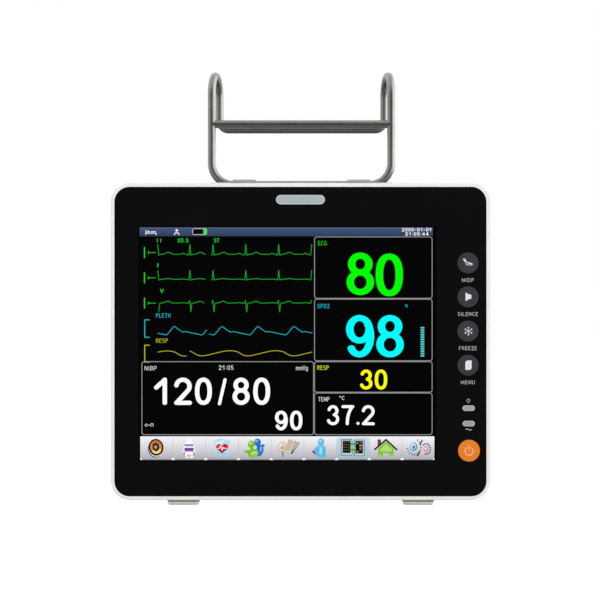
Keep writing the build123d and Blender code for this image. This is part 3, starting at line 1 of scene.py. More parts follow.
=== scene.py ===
import bmesh
import bpy
import json
import math
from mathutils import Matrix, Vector


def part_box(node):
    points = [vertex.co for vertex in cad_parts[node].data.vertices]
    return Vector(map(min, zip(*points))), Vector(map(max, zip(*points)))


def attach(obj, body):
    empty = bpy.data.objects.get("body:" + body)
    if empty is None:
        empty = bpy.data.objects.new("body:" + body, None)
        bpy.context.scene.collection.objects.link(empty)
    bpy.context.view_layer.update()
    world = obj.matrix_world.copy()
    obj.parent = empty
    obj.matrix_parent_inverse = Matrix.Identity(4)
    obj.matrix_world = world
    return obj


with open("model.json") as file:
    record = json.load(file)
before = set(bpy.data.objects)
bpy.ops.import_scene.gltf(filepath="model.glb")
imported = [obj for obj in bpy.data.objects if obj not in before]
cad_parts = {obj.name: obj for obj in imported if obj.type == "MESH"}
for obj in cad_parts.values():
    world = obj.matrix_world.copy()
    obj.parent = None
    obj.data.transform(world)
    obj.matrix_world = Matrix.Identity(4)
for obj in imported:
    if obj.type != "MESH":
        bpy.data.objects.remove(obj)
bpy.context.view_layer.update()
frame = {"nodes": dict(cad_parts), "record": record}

# The looks of a bedside patient monitor, built on its CAD frame. Blender works in metres; sizes and
# places below are in millimetres and pass through MM. On the display and on the panel, u runs to the
# right and v runs down, from the corner or the centre that each Surface names.
MM = 0.001
NODES = frame["nodes"]
SLOT_OF = {part["node"]: part["material_slot"] for part in frame["record"]["subparts"]}

# ---- colours, as display values from 0 to 255 ----
GREEN = (0, 255, 0)
CYAN = (0, 255, 255)
YELLOW = (255, 255, 0)
WHITE = (255, 255, 255)
TRACE_GREEN = (28, 172, 42)
TRACE_CYAN = (32, 180, 195)
TRACE_YELLOW = (185, 180, 40)
FRAME_GREY = (142, 142, 142)


def linear(color):
    """Display values to scene-linear colour."""
    def channel(value):
        value = value / 255
        return value / 12.92 if value <= 0.04045 else ((value + 0.055) / 1.055) ** 2.4
    return tuple(channel(value) for value in color)


def middle_of(node):
    low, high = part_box(node)
    return (low + high) / 2


# ---- node helpers ----
class Nodes:
    """A node tree under construction; a node's inputs are values or sockets."""

    def __init__(self, tree):
        self.tree = tree

    def add(self, kind, inputs=None, **settings):
        node = self.tree.nodes.new(kind)
        for key, value in settings.items():
            setattr(node, key, value)
        self.feed(node, inputs or {})
        return node

    def feed(self, node, inputs):
        for key, value in inputs.items():
            if isinstance(value, bpy.types.NodeSocket):
                self.tree.links.new(value, node.inputs[key])
            else:
                node.inputs[key].default_value = value

    def remap(self, value, low, high, from_low=0.3, from_high=0.7):
        """Spreads a 0-to-1 pattern over low to high."""
        node = self.add(
            "ShaderNodeMapRange",
            {"Value": value, "From Min": from_low, "From Max": from_high, "To Min": low, "To Max": high},
        )
        return node.outputs["Result"]

    def math(self, operation, first, second=0.0):
        node = self.add("ShaderNodeMath", {0: first, 1: second}, operation=operation)
        return node.outputs["Value"]

    def choose(self, factor, otherwise, chosen):
        """One of two values, by a 0-or-1 factor."""
        return self.add("ShaderNodeMix", {0: factor, 2: otherwise, 3: chosen}).outputs[0]


class Shader(Nodes):
    """A material under construction, with its sizes in millimetres."""

    def __init__(self, name):
        self.material = bpy.data.materials.new(name)
        self.material.use_nodes = True
        super().__init__(self.material.node_tree)
        self.surface = self.tree.nodes["Principled BSDF"]

    def finish(self, **inputs):
        """Sets the main surface's inputs; underscores in a name stand for spaces."""
        self.feed(self.surface, {key.replace("_", " "): value for key, value in inputs.items()})
        return self.material

    def position(self, stretch=(1, 1, 1)):
        """Place in metres, optionally stretched along an axis."""
        coords = self.add("ShaderNodeTexCoord")
        mapping = self.add("ShaderNodeMapping", {"Vector": coords.outputs["Object"], "Scale": stretch})
        return mapping.outputs["Vector"]

    def axes(self):
        """Place in metres, by axis."""
        return self.add("ShaderNodeSeparateXYZ", {"Vector": self.position()}).outputs

    def cells(self, size_mm):
        """Distance from the nearest of scattered points, about size_mm apart."""
        inputs = {"Vector": self.position(), "Scale": 1 / (size_mm * MM)}
        return self.add("ShaderNodeTexVoronoi", inputs, feature="F1").outputs["Distance"]

    def noise(self, size_mm, detail=3.0, stretch=(1, 1, 1)):
        """Noise with features about size_mm across."""
        node = self.add(
            "ShaderNodeTexNoise",
            {"Vector": self.position(stretch), "Scale": 1 / (size_mm * MM), "Detail": detail},
        )
        return node.outputs["Fac"]

    def blend(self, factor, first, second):
        """Mix of two colours."""
        node = self.add("ShaderNodeMix", data_type="RGBA")
        self.feed(node, {0: factor, 6: rgba(first), 7: rgba(second)})
        return node.outputs[2]

    def bump(self, height, depth_mm):
        node = self.add("ShaderNodeBump", {"Height": height, "Strength": 1.0, "Distance": depth_mm * MM})
        return node.outputs["Normal"]


def rgba(color):
    """A colour input's value, left alone if it's a socket."""
    return color if isinstance(color, bpy.types.NodeSocket) else (*color, 1.0)


def toned(color, factor):
    """A colour made darker or lighter."""
    return tuple(channel * factor for channel in color)


# ---- materials ----
def moulded(name, color, roughness, grain_mm=0.5, grain_depth=0.02, tone=0.06, **extra):
    """Moulded plastic or rubber: fine spark-eroded grain, faint flow marks and uneven sheen."""
    shader = Shader(name)
    flow = shader.noise(40, 2)
    grain = shader.noise(grain_mm, 4)
    return shader.finish(
        Base_Color=shader.blend(shader.remap(flow, 0, 1), toned(color, 1 - tone), color),
        Roughness=shader.remap(grain, roughness - 0.05, roughness + 0.07),
        Normal=shader.bump(grain, grain_depth),
        **extra,
    )


def polished(name, color, roughness, shine):
    """Glossy sheet: hair scratches and a trace of haze."""
    shader = Shader(name)
    scratches = shader.noise(0.6, 2, stretch=(0.05, 1, 1))
    haze = shader.noise(60, 2)
    return shader.finish(
        Base_Color=shader.blend(shader.remap(haze, 0, 1), color, toned(color, 1.25)),
        Roughness=shader.remap(haze, roughness, roughness + 0.04),
        Normal=shader.bump(scratches, 0.0015),
        Specular_IOR_Level=shine,
    )


def metal(name, color, roughness, stretch=(1, 1, 1), grain_mm=0.4, depth=0.006, underside_painted_shade=1.0):
    """Bare metal with drawing marks along the stretched axis, dull patches and painted shade on faces that
    turn down.
    """
    shader = Shader(name)
    marks = shader.noise(grain_mm, 3, stretch)
    patches = shader.noise(14, 3)
    clean = shader.blend(shader.remap(patches, 0, 1), toned(color, 0.85), color)
    facing = shader.add("ShaderNodeTexCoord").outputs["Normal"]
    facing_up = shader.add("ShaderNodeSeparateXYZ", {"Vector": facing}).outputs["Z"]
    # painted shade: faces that turn downwards are toned darker
    below = shader.remap(facing_up, 1, 0, -0.35, -0.05)
    return shader.finish(
        Base_Color=shader.blend(below, clean, toned(color, underside_painted_shade)),
        Metallic=1.0,
        Roughness=shader.remap(patches, roughness - 0.04, roughness + 0.08),
        Normal=shader.bump(marks, depth),
    )


def circuit_board(name):
    """Solder resist over copper tracks, with tinned pads."""
    shader = Shader(name)
    layout = {"Scale": 1.0, "Brick Width": 6 * MM, "Row Height": 1.6 * MM, "Mortar Size": 0.2 * MM}
    tones = {"Color1": rgba((0, 0, 0)), "Color2": rgba((0.25, 0.25, 0.25)), "Mortar": rgba((1, 1, 1))}
    bricks = shader.add("ShaderNodeTexBrick", {"Vector": shader.position(), **layout, **tones})
    tracks = bricks.outputs["Color"]
    pad_mask = shader.remap(shader.cells(5), 1, 0, 0.16, 0.2)
    resist = shader.blend(tracks, (0.006, 0.09, 0.03), (0.02, 0.2, 0.07))
    return shader.finish(
        Base_Color=shader.blend(pad_mask, resist, (0.6, 0.6, 0.56)),
        Roughness=0.35,
        Metallic=pad_mask,
        Normal=shader.bump(tracks, 0.03),
    )


def lit(name, color):
    """Display light of one colour, crossed by a fine dark grid."""
    shader = Shader(name)
    pitch = 0.24 * MM
    place = shader.axes()
    columns = shader.math("PINGPONG", place["X"], pitch / 2)
    rows = shader.math("PINGPONG", place["Z"], pitch / 2)
    gap = shader.math("MINIMUM", columns, rows)
    grid = shader.remap(gap, 0.9, 1.0, 0, pitch / 8)
    return glowing(shader, shader.blend(grid, (0, 0, 0), linear(color)))


def lit_fade(name, color, lower, top, bottom):
    """Display light that fades to another colour between two heights."""
    shader = Shader(name)
    share = shader.remap(shader.axes()["Z"], 1, 0, bottom * MM, top * MM)
    return glowing(shader, shader.blend(share, linear(color), linear(lower)))


def glowing(shader, color):
    return shader.finish(
        Base_Color=(0, 0, 0, 1),
        Roughness=0.3,
        Specular_IOR_Level=0.1,
        Emission_Color=color,
        Emission_Strength=1.0,
    )


def frosted_lens(name, node, centre_gap=0.0, tone=1.0):
    """Frosted light pipe: a paler border, a painted highlight, round a greyer middle. centre_gap sets two
    lenses apart.
    """
    low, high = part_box(node)
    flange = 1.4 * MM
    centre = middle_of(node)
    radius = ((high.z - low.z) - centre_gap * MM) / 2 - flange
    reach = (high.x - low.x) / 2 - flange - radius
    shader = Shader(name)
    place = shader.axes()
    across = shader.math("ABSOLUTE", shader.math("SUBTRACT", place["X"], centre.x))
    across = shader.math("MAXIMUM", shader.math("SUBTRACT", across, reach), 0.0)
    up = shader.math("ABSOLUTE", shader.math("SUBTRACT", place["Z"], centre.z))
    up = shader.math("SUBTRACT", up, centre_gap * MM / 2)
    squared = shader.math("ADD", shader.math("MULTIPLY", across, across), shader.math("MULTIPLY", up, up))
    away = shader.math("SQRT", squared)
    # painted highlight: the paler border stands for light caught at the lens edge
    rim = shader.remap(away, 0, 1, radius - 1.3 * MM, radius - 0.7 * MM)
    grain = shader.noise(0.35, 3)
    ribs = shader.math("SINE", shader.math("MULTIPLY", place["X"], 2 * math.pi / (1.2 * MM)))
    return shader.finish(
        Base_Color=shader.blend(rim, toned((0.4, 0.45, 0.46), tone), toned((0.52, 0.57, 0.58), tone)),
        Roughness=shader.remap(grain, 0.3, 0.42),
        Normal=shader.bump(shader.math("ADD", grain, shader.math("MULTIPLY", ribs, 0.15)), 0.02),
        Subsurface_Weight=0.15,
        Subsurface_Radius=(0.002, 0.002, 0.002),
    )


def printed(name, color):
    """Screen-printed ink: slightly uneven edges in tone and a soft sheen."""
    shader = Shader(name)
    ink = shader.noise(0.8, 3)
    return shader.finish(
        Base_Color=shader.blend(shader.remap(ink, 0, 1), toned(color, 0.88), color),
        Roughness=shader.remap(ink, 0.45, 0.6),
        Normal=shader.bump(ink, 0.004),
    )


def foot_with_painted_shade(name):
    """Moulded foot and pad: brownish painted shade near the case, paler below, and darker towards the
    table.
    """
    shader = Shader(name)
    uneven_height = shader.math("ADD", shader.axes()["Z"], shader.remap(shader.noise(3, 3), -0.15 * MM, 0.15 * MM))
    grain = shader.noise(0.5, 4)
    # painted shade: the brownish band at the top stands for the shadowed neck under the case
    painted_neck_shade = shader.remap(uneven_height, 0, 1, 2.3 * MM, 2.7 * MM)
    near_table = shader.remap(uneven_height, 1, 0, 0.7 * MM, 1.1 * MM)
    pale = shader.blend(near_table, (0.95, 0.95, 0.94), (0.55, 0.53, 0.52))
    return shader.finish(
        Base_Color=shader.blend(painted_neck_shade, pale, (0.3, 0.255, 0.185)),
        Roughness=shader.remap(grain, 0.55, 0.68),
        Normal=shader.bump(grain, 0.03),
    )


def foam(name, color):
    """Open-cell foam or cord: cells as bump, with painted shade in their pits."""
    shader = Shader(name)
    cells = shader.cells(0.8)
    return shader.finish(
        # painted shade: the cell centres, the pits of the bump, are toned darker
        Base_Color=shader.blend(cells, toned(color, 0.5), color),
        Roughness=0.9,
        Normal=shader.bump(cells, 0.2),
    )


MOULDED = {  # colour, roughness, grain in mm, grain depth in mm, unevenness of tone
    "white_case": ((0.83, 0.83, 0.81), 0.42, 0.6, 0.02, 0.03),
    "grey_key": ((0.029, 0.031, 0.037), 0.55, 0.35, 0.02, 0.15),
    "orange_key": ((0.85, 0.212, 0.003), 0.5, 0.35, 0.02, 0.08),
    "board_parts": ((0.03, 0.03, 0.033), 0.5, 0.3, 0.02, 0.3),
    "led_body": ((0.8, 0.8, 0.7), 0.2, 0.5, 0.004),
    "saddle_plastic": ((0.62, 0.62, 0.6), 0.42, 0.6, 0.02, 0.04),
    "socket_plastic": ((0.025, 0.026, 0.03), 0.45, 0.4, 0.02, 0.2),
    "bay_plastic": ((0.42, 0.44, 0.47), 0.45, 0.6, 0.03, 0.05),
    "ecg_green": ((0.03, 0.27, 0.1), 0.4, 0.4, 0.01, 0.1),
    "spo2_blue": ((0.03, 0.12, 0.42), 0.4, 0.4, 0.01, 0.1),
    "soft_rubber": ((0.02, 0.02, 0.02), 0.75, 0.4, 0.03, 0.2),
    "air_hose": ((0.5, 0.55, 0.6), 0.35, 0.5, 0.01, 0.06),
    "cable_sleeve": ((0.3, 0.17, 0.05), 0.5, 0.4, 0.02, 0.1),
    "battery_wrap": ((0.02, 0.035, 0.13), 0.3, 0.8, 0.01, 0.15),
}
METALS = {  # colour, roughness, stretch of the marks, their size and depth in mm, tone of the painted shade underneath
    "steel_rod": ((0.43, 0.43, 0.41), 0.26, (1, 1, 0.08), 0.4, 0.0006, 0.38),
    "strap_steel": ((0.6, 0.6, 0.58), 0.3, (0.08, 1, 1)),
    "screw_steel": ((0.55, 0.55, 0.54), 0.28),
    "insert_brass": ((0.72, 0.52, 0.22), 0.3),
    "chassis_steel": ((0.6, 0.61, 0.62), 0.38, (1, 1, 1), 3.0, 0.01),
    "plated_metal": ((0.66, 0.64, 0.58), 0.2),
}


def slot_materials():
    """One material for each of the record's slots."""
    made = {name: moulded(name, *values) for name, values in MOULDED.items()}
    made.update({name: metal(name, *values) for name, values in METALS.items()})
    made.update({name: foot_with_painted_shade(name) for name in ("foot_plastic", "foot_rubber")})
    made["pump_metal"] = moulded("pump_metal", (0.3, 0.31, 0.33), 0.35, 0.8, 0.01, 0.1, Metallic=0.4)
    made["black_panel"] = polished("black_panel", (0.0028, 0.0028, 0.0032), 0.06, 0.15)
    made["display_face"] = polished("display_face", (0.0004, 0.0004, 0.0005), 0.18, 0.12)
    made["foam_tape"] = foam("foam_tape", (0.03, 0.03, 0.03))
    made["circuit_board"] = circuit_board("circuit_board")
    made["lamp_lens"] = frosted_lens("lamp_lens", "alarm_lens")
    return made


# ---- flat outlines ----
def arc(centre, radii, start, end, steps=20):
    """Points along an ellipse; angles in degrees, anticlockwise from the right."""
    angles = [math.radians(start + (end - start) * i / steps) for i in range(steps + 1)]
    return [(centre[0] + radii[0] * math.cos(a), centre[1] + radii[1] * math.sin(a)) for a in angles]


def ellipse(centre, radii, steps=40):
    """A filled ellipse's outline."""
    return [arc(centre, radii, 0, 360, steps)[:-1]]


def ring(centre, radii, power=2.0, steps=36):
    """A closed oval; a power above 2 makes its sides straighter."""
    points = []
    for i in range(steps):
        angle = 2 * math.pi * i / steps
        across, up = math.cos(angle), math.sin(angle)
        across = math.copysign(abs(across) ** (2 / power), across)
        up = math.copysign(abs(up) ** (2 / power), up)
        points.append((centre[0] + radii[0] * across, centre[1] + radii[1] * up))
    return points + points[:1]


def rounded_box(left, top, right, bottom, radius, steps=6):
    """Outline of a box with round corners, v down."""
    points = []
    for u, v, start in (
        (right - radius, bottom - radius, 0),
        (left + radius, bottom - radius, 90),
        (left + radius, top + radius, 180),
        (right - radius, top + radius, 270),
    ):
        points += arc((u, v), (radius, radius), start, start + 90, steps)
    return points


def plate(left, top, right, bottom, radius, steps=6):
    """A filled box with round corners."""
    return [rounded_box(left, top, right, bottom, radius, steps)]


def box_frame(left, top, right, bottom, radius, line):
    """A thin rounded frame, as an outer and an inner loop."""
    inner = rounded_box(left + line, top + line, right - line, bottom - line, max(radius - line, 0.1))
    return [rounded_box(left, top, right, bottom, radius), inner]


SHARPEST = 40  # degrees that a band may turn without a joint


def smooth_runs(path):
    """A path cut wherever it turns sharply."""
    runs = [[path[0]]]
    for before, here, after in zip(path, path[1:], path[2:]):
        runs[-1].append(here)
        way_in = math.atan2(here[1] - before[1], here[0] - before[0])
        way_out = math.atan2(after[1] - here[1], after[0] - here[0])
        turn = abs((way_out - way_in + math.pi) % (2 * math.pi) - math.pi)
        if math.degrees(turn) > SHARPEST:
            runs.append([here])
    runs[-1].append(path[-1])
    return runs


def band_sides(path, half, closed=False):
    """The two edges of a band along a path."""
    count = len(path)
    left, right = [], []
    for i, (u, v) in enumerate(path):
        before = path[i - 1] if closed else path[max(i - 1, 0)]
        after = path[(i + 1) % count] if closed else path[min(i + 1, count - 1)]
        du, dv = after[0] - before[0], after[1] - before[1]
        length = math.hypot(du, dv) or 1.0
        left.append((u - dv / length * half, v + du / length * half))
        right.append((u + dv / length * half, v - du / length * half))
    return left, right


def band(path, width, steps=8):
    """Outlines of a round-ended band along a path; a closed smooth path gives a ring."""
    half = width / 2
    if path[0] == path[-1] and len(smooth_runs(path)) == 1:
        left, right = band_sides(path[:-1], half, closed=True)
        return [[left, right]]
    outlines = []
    for run in smooth_runs(path):
        left, right = band_sides(run, half)
        far_end = cap(run[-1], left[-1], half, steps)
        near_end = cap(run[0], right[0], half, steps)
        outlines.append([left + far_end + right[::-1] + near_end])
    return outlines


def cap(end, rim, radius, steps):
    """Points round a band's end, from one edge to the other."""
    start = math.degrees(math.atan2(rim[1] - end[1], rim[0] - end[0]))
    return arc(end, (radius, radius), start, start - 180, steps)[1:-1]


def turned(outlines, angle, shift):
    """Outlines turned about (0, 0) and then moved."""
    cosine, sine = math.cos(math.radians(angle)), math.sin(math.radians(angle))
    def place(point):
        u, v = point
        return (u * cosine - v * sine + shift[0], u * sine + v * cosine + shift[1])
    return [[place(point) for point in loop] for loop in outlines]


def oval(centre, radii, tilt):
    """A filled ellipse, tilted by some degrees."""
    return turned(ellipse((0, 0), radii), tilt, centre)


def moved(shapes, u, v):
    """Several shapes' outlines, moved."""
    return [turned(outlines, 0, (u, v)) for outlines in shapes]


# ---- characters ----
def bowl(centre, radii):
    """The round side of a letter, from its top to its foot."""
    return arc(centre, radii, 90, -90)


GLYPHS = {  # the width of a box one unit high, and the centre lines in it, v up
    "0": (0.54, [ring((0.27, 0.5), (0.27, 0.5), 2.3)]),
    "1": (0.52, [[(0, 0.66), (0.37, 1), (0.37, 0)]]),
    "2": (0.60, [arc((0.305, 0.715), (0.285, 0.285), 172, -35) + [(0.06, 0.03)], [(0.02, 0), (0.6, 0)]]),
    "3": (0.55, [
        arc((0.27, 0.755), (0.235, 0.245), 165, -72),
        arc((0.27, 0.265), (0.275, 0.265), 75, -162),
    ]),
    "4": (0.60, [[(0.42, 0), (0.42, 1), (0, 0.3), (0.6, 0.3)]]),
    "5": (0.56, [[(0.5, 1), (0.1, 1), (0.04, 0.5)], arc((0.26, 0.31), (0.29, 0.31), 140, -150)]),
    "7": (0.57, [[(0, 1), (0.57, 1)], arc((0.87, 0), (0.62, 1.155), 120, 180)]),
    "8": (0.55, [ring((0.275, 0.767), (0.236, 0.233)), ring((0.275, 0.27), (0.275, 0.27))]),
    "9": (0.57, [
        ring((0.266, 0.69), (0.266, 0.31)),
        arc((0.27, 0.5), (0.297, 0.5), 38, -90) + arc((0.27, 0.23), (0.235, 0.23), -90, -165, 8)[1:],
    ]),
    "/": (0.30, [[(0.27, 1), (0.03, -0.04)]]),
    ".": (0.10, [[(0.05, 0.02), (0.051, 0.02)]]),
    ":": (0.10, [[(0.05, 0.22), (0.051, 0.22)], [(0.05, 0.75), (0.051, 0.75)]]),
    "-": (0.36, [[(0, 0.45), (0.36, 0.45)]]),
    "%": (0.70, [ring((0.14, 0.8), (0.13, 0.18)), ring((0.56, 0.2), (0.13, 0.18)), [(0.62, 1), (0.08, 0)]]),
    "B": (0.60, [
        [(0, 0), (0, 1), *bowl((0.3, 0.77), (0.25, 0.23)), (0, 0.54)],
        [(0, 0.54), *bowl((0.32, 0.27), (0.28, 0.27)), (0, 0)],
    ]),
    "C": (0.62, [arc((0.33, 0.5), (0.33, 0.5), 48, 312)]),
    "E": (0.54, [[(0.54, 1), (0, 1), (0, 0), (0.54, 0)], [(0, 0.53), (0.48, 0.53)]]),
    "F": (0.52, [[(0.52, 1), (0, 1), (0, 0)], [(0, 0.53), (0.44, 0.53)]]),
    "G": (0.66, [arc((0.34, 0.5), (0.34, 0.5), 48, 335), [(0.66, 0.3), (0.66, 0.46), (0.38, 0.46)]]),
    "H": (0.60, [[(0, 0), (0, 1)], [(0.6, 0), (0.6, 1)], [(0, 0.52), (0.6, 0.52)]]),
    "I": (0.10, [[(0.05, 0), (0.05, 1)]]),
    "L": (0.50, [[(0, 1), (0, 0), (0.5, 0)]]),
    "M": (0.74, [[(0, 0), (0, 1), (0.37, 0.15), (0.74, 1), (0.74, 0)]]),
    "N": (0.62, [[(0, 0), (0, 1), (0.62, 0), (0.62, 1)]]),
    "O": (0.70, [ring((0.35, 0.5), (0.35, 0.5))]),
    "P": (0.58, [[(0, 0), (0, 1), *bowl((0.3, 0.73), (0.28, 0.27)), (0, 0.46)]]),
    "R": (0.60, [[(0, 0), (0, 1), *bowl((0.3, 0.74), (0.28, 0.26)), (0, 0.48)], [(0.28, 0.48), (0.6, 0)]]),
    "S": (0.58, [arc((0.29, 0.75), (0.27, 0.25), 35, 268) + arc((0.29, 0.26), (0.29, 0.26), 88, -145)]),
    "T": (0.60, [[(0, 1), (0.6, 1)], [(0.3, 1), (0.3, 0)]]),
    "U": (0.62, [[(0, 1), (0, 0.3), *arc((0.31, 0.31), (0.31, 0.31), 180, 360), (0.62, 0.3), (0.62, 1)]]),
    "V": (0.64, [[(0, 1), (0.32, 0), (0.64, 1)]]),
    "X": (0.56, [[(0, 1), (0.56, 0)], [(0.56, 1), (0, 0)]]),
    "Z": (0.58, [[(0, 1), (0.58, 1), (0, 0), (0.58, 0)]]),
    "m": (0.80, [
        [(0, 0), (0, 0.68)],
        arc((0.2, 0.46), (0.2, 0.22), 180, 0) + [(0.4, 0)],
        arc((0.6, 0.46), (0.2, 0.22), 180, 0) + [(0.8, 0)],
    ]),
    "g": (0.56, [
        ring((0.27, 0.36), (0.27, 0.32)), [(0.54, 0.68), (0.54, 0)], arc((0.27, 0), (0.27, 0.26), 0, -150),
    ]),
    "o": (0.26, [ring((0.13, 0.85), (0.12, 0.14))]),
}
NARROW = {".": 0.37, "/": 0.83}  # shares of a digit's cell
SLASH_PEN = 0.72
LETTER_GAP = 0.38


def number(text, left, top, height, pen, pitch):
    """Large rounded digits on an even pitch. The pen is wider than it's high, as (width, height)."""
    squash = pen[1] / pen[0]
    core = height - pen[1]
    outlines = []
    edge = left
    for char in text:
        cell = pitch * NARROW.get(char, 1.0)
        box_width, lines = GLYPHS[char]
        line_width = pen[0] * (SLASH_PEN if char == "/" else 1.0)
        start = edge + (cell - box_width * core) / 2
        for line in lines:
            path = [(start + u * core, (1 - v) * core / squash) for u, v in line]
            for loops in band(path, line_width):
                low = top + pen[1] / 2
                outlines.append([[(u, low + v * squash) for u, v in loop] for loop in loops])
        edge += cell
    return outlines


def word(text, left, top, width, height, line):
    """Small lettering fitted to a width."""
    total = sum(GLYPHS[char][0] for char in text) + LETTER_GAP * (len(text) - 1)
    core_height = height - line
    scale = (width - line) / total
    outlines = []
    edge = left + line / 2
    for char in text:
        box_width, lines = GLYPHS[char]
        for stroke in lines:
            path = [(edge + u * scale, top + line / 2 + (1 - v) * core_height) for u, v in stroke]
            outlines += band(path, line, 4)
        edge += (box_width + LETTER_GAP) * scale
    return outlines


# ---- flat pieces on the front ----
SUNK = 0.01  # how far a flat piece reaches below its surface


class Surface:
    """A flat area facing the front, with (0, 0) at a given place."""

    def __init__(self, x, y, z, body):
        self.x, self.y, self.z, self.body = x, y, z, body

    def at(self, u, v, proud):
        return Vector((self.x + u * MM, self.y - proud * MM, self.z - v * MM))

    def lay(self, name, outlines, material, proud):
        """A thin solid with these outlines, standing proud of the surface."""
        mesh = bpy.data.meshes.new(name)
        build = bmesh.new()
        for loops in outlines:
            fronts = [[build.verts.new(self.at(u, v, proud)) for u, v in loop] for loop in loops]
            backs = [[build.verts.new(self.at(u, v, -SUNK)) for u, v in loop] for loop in loops]
            for layer in (fronts, backs):
                if len(layer) == 1:
                    build.faces.new(layer[0])
                else:
                    join_loops(build, layer[0], layer[1])
            for front, back in zip(fronts, backs):
                join_loops(build, front, back)
        bmesh.ops.recalc_face_normals(build, faces=build.faces)
        build.to_mesh(mesh)
        build.free()
        piece = bpy.data.objects.new(name, mesh)
        bpy.context.scene.collection.objects.link(piece)
        mesh.materials.append(material)
        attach(piece, self.body)


def join_loops(build, first, second):
    """A closed strip of faces between two loops of the same length."""
    count = len(first)
    for i in range(count):
        following = (i + 1) % count
        build.faces.new((first[i], first[following], second[following], second[i]))


LIT = {}


def light(color):
    """The display material of a colour, made once."""
    if color not in LIT:
        LIT[color] = lit("lit_%02x%02x%02x" % color, color)
    return LIT[color]


WINDOW_MARGIN = 0.9
PICTURE_DROP = 0.2
low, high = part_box("display_glass")
DISPLAY = Surface(low.x + WINDOW_MARGIN * MM, low.y, high.z - (WINDOW_MARGIN + PICTURE_DROP) * MM, "case")


def show(name, outlines, color, proud=0.03):
    """Lights up outlines on the display."""
    DISPLAY.lay(name, outlines, light(color), proud)


# ---- display: boxes and numbers ----
COLUMN = 145.0  # where the traces end and the number boxes begin
RIGHT = 243.4
PRESSURE_LEFT = 1.6
TOP = 7.7
SPO2_TOP = 59.4
RESP_TOP = 111.3
TEMP_TOP = 137.4
BOXES_BOTTOM = 172.7
BOX_RADIUS = 2.4
BOX_LINE = 0.7
TEXT = 3.7
TEXT_LINE = 0.42


def draw_boxes():
    edges = (TOP, SPO2_TOP, RESP_TOP, TEMP_TOP, BOXES_BOTTOM)
    boxes = [(COLUMN, top, RIGHT, bottom) for top, bottom in zip(edges, edges[1:])]
    boxes.append((PRESSURE_LEFT, RESP_TOP, COLUMN - 0.1, BOXES_BOTTOM))
    outlines = [box_frame(*box, BOX_RADIUS, BOX_LINE) for box in boxes]
    show("box_lines", outlines, FRAME_GREY)


def draw_numbers():
    pen, pitch = (6.2, 5.1), 24.6
    rate = number("8", 171.1, 21.0, 35.4, pen, pitch) + number("0", 195.2, 21.8, 35.6, pen, pitch)
    show("heart_rate", rate, GREEN)
    show("heart_rate_label", word("ECG", 148.3, 11.4, 7.2, TEXT, TEXT_LINE), (0, 215, 35))
    show("oxygen", number("98", 170.9, 72.9, 35.2, (6.2, 4.9), 24.8), CYAN)
    label = word("SPO2", 147.8, 63.6, 10.0, TEXT, TEXT_LINE) + word("%", 220.7, 63.9, 2.1, 2.6, 0.35)
    show("oxygen_label", label, (0, 190, 200))
    show("oxygen_bar_rest", [plate(233.5, 82.9, 236.5, 107.4, 0.3, 2)], (0, 105, 110), 0.025)
    bars = [plate(233.5, 82.9 + 1.955 * i, 236.5, 83.95 + 1.955 * i, 0.2, 2) for i in range(13)]
    show("oxygen_bar", bars, (90, 215, 215))
    show("breath_rate", number("30", 182.2, 118.2, 16.6, (2.75, 2.5), 12.25), YELLOW)
    show("breath_rate_label", word("RESP", 147.7, 114.8, 9.5, TEXT, TEXT_LINE), (225, 225, 30))
    show("temperature", number("37.2", 154.6, 147.8, 16.6, (2.55, 2.4), 12.3), WHITE)
    label = word("TEMP", 148.4, 141.0, 9.4, TEXT, TEXT_LINE) + word("oC", 165.8, 140.2, 4.6, 3.2, 0.45)
    show("temperature_label", label, (220, 220, 220))
    show("pressure", number("120/80", 10.3, 124.9, 22.7, (3.7, 3.5), 17.1), WHITE)
    show("mean_pressure", number("90", 111.7, 152.4, 16.3, (2.9, 2.6), 12.3), WHITE)
    label = word("NIBP", 4.2, 115.3, 10.0, TEXT, TEXT_LINE) + word("21:05", 65.8, 114.7, 12.2, 3.8, 0.48)
    label += word("mmHg", 129.9, 114.9, 10.0, 3.9, 0.38)
    show("pressure_labels", label + rest_marks(4.2, 164.4), (222, 222, 222))


def rest_marks(u, v):
    """A row of small generic marks: a ring, a dash and a bracket."""
    marks = band(ring((1.3, 0), (0.9, 1.0)), 0.4) + band([(3.0, 0), (4.4, 0)], 0.5, 3)
    marks += band([(5.2, 1.2), (5.2, -1.2), (7.0, -1.2), (7.0, 1.2)], 0.45, 3)
    return moved(marks, u, v)


# ---- display: traces ----
BEATS = [15.1, 41.8, 61.1, 88.2, 115.6, 143.0]
SWEEP_GAP = (55.2, 57.9)
SWEEP = (15.0, 143.2)
LONG_BEAT = 20  # a beat at least this long shows the early wave of the next


def limb_beat(beat, base, lead):
    """A beat's spike; start and length of its round wave; lead-in and drop before the next beat."""
    spike, dip = lead[:2]
    path = [(beat - 1.4, base + dip), (beat - 0.75, base + dip * 0.4), (beat, base - spike)]
    path += [(beat + 0.9, base + dip), (beat + 2.4, base + 0.1)]
    return path, 3.6, 9.2, (2.2, 0.2)


def chest_beat(beat, base, lead):
    """The same for the chest lead: a small rise and a deep fall."""
    path = [(beat - 0.9, base + 0.1), (beat - 0.2, base - 2.2), (beat + 0.8, base + 7.4)]
    path += [(beat + 1.6, base + 0.3), (beat + 2.6, base)]
    return path, 3.8, 8.0, (2.0, 0.1)


def bump(start, length, base, height):
    """A round wave on a trace, rising slowly and falling faster."""
    points = []
    for i in range(13):
        share = i / 12
        points.append((start + length * share, base - height * math.sin(math.pi * share ** 1.25) ** 1.6))
    return points


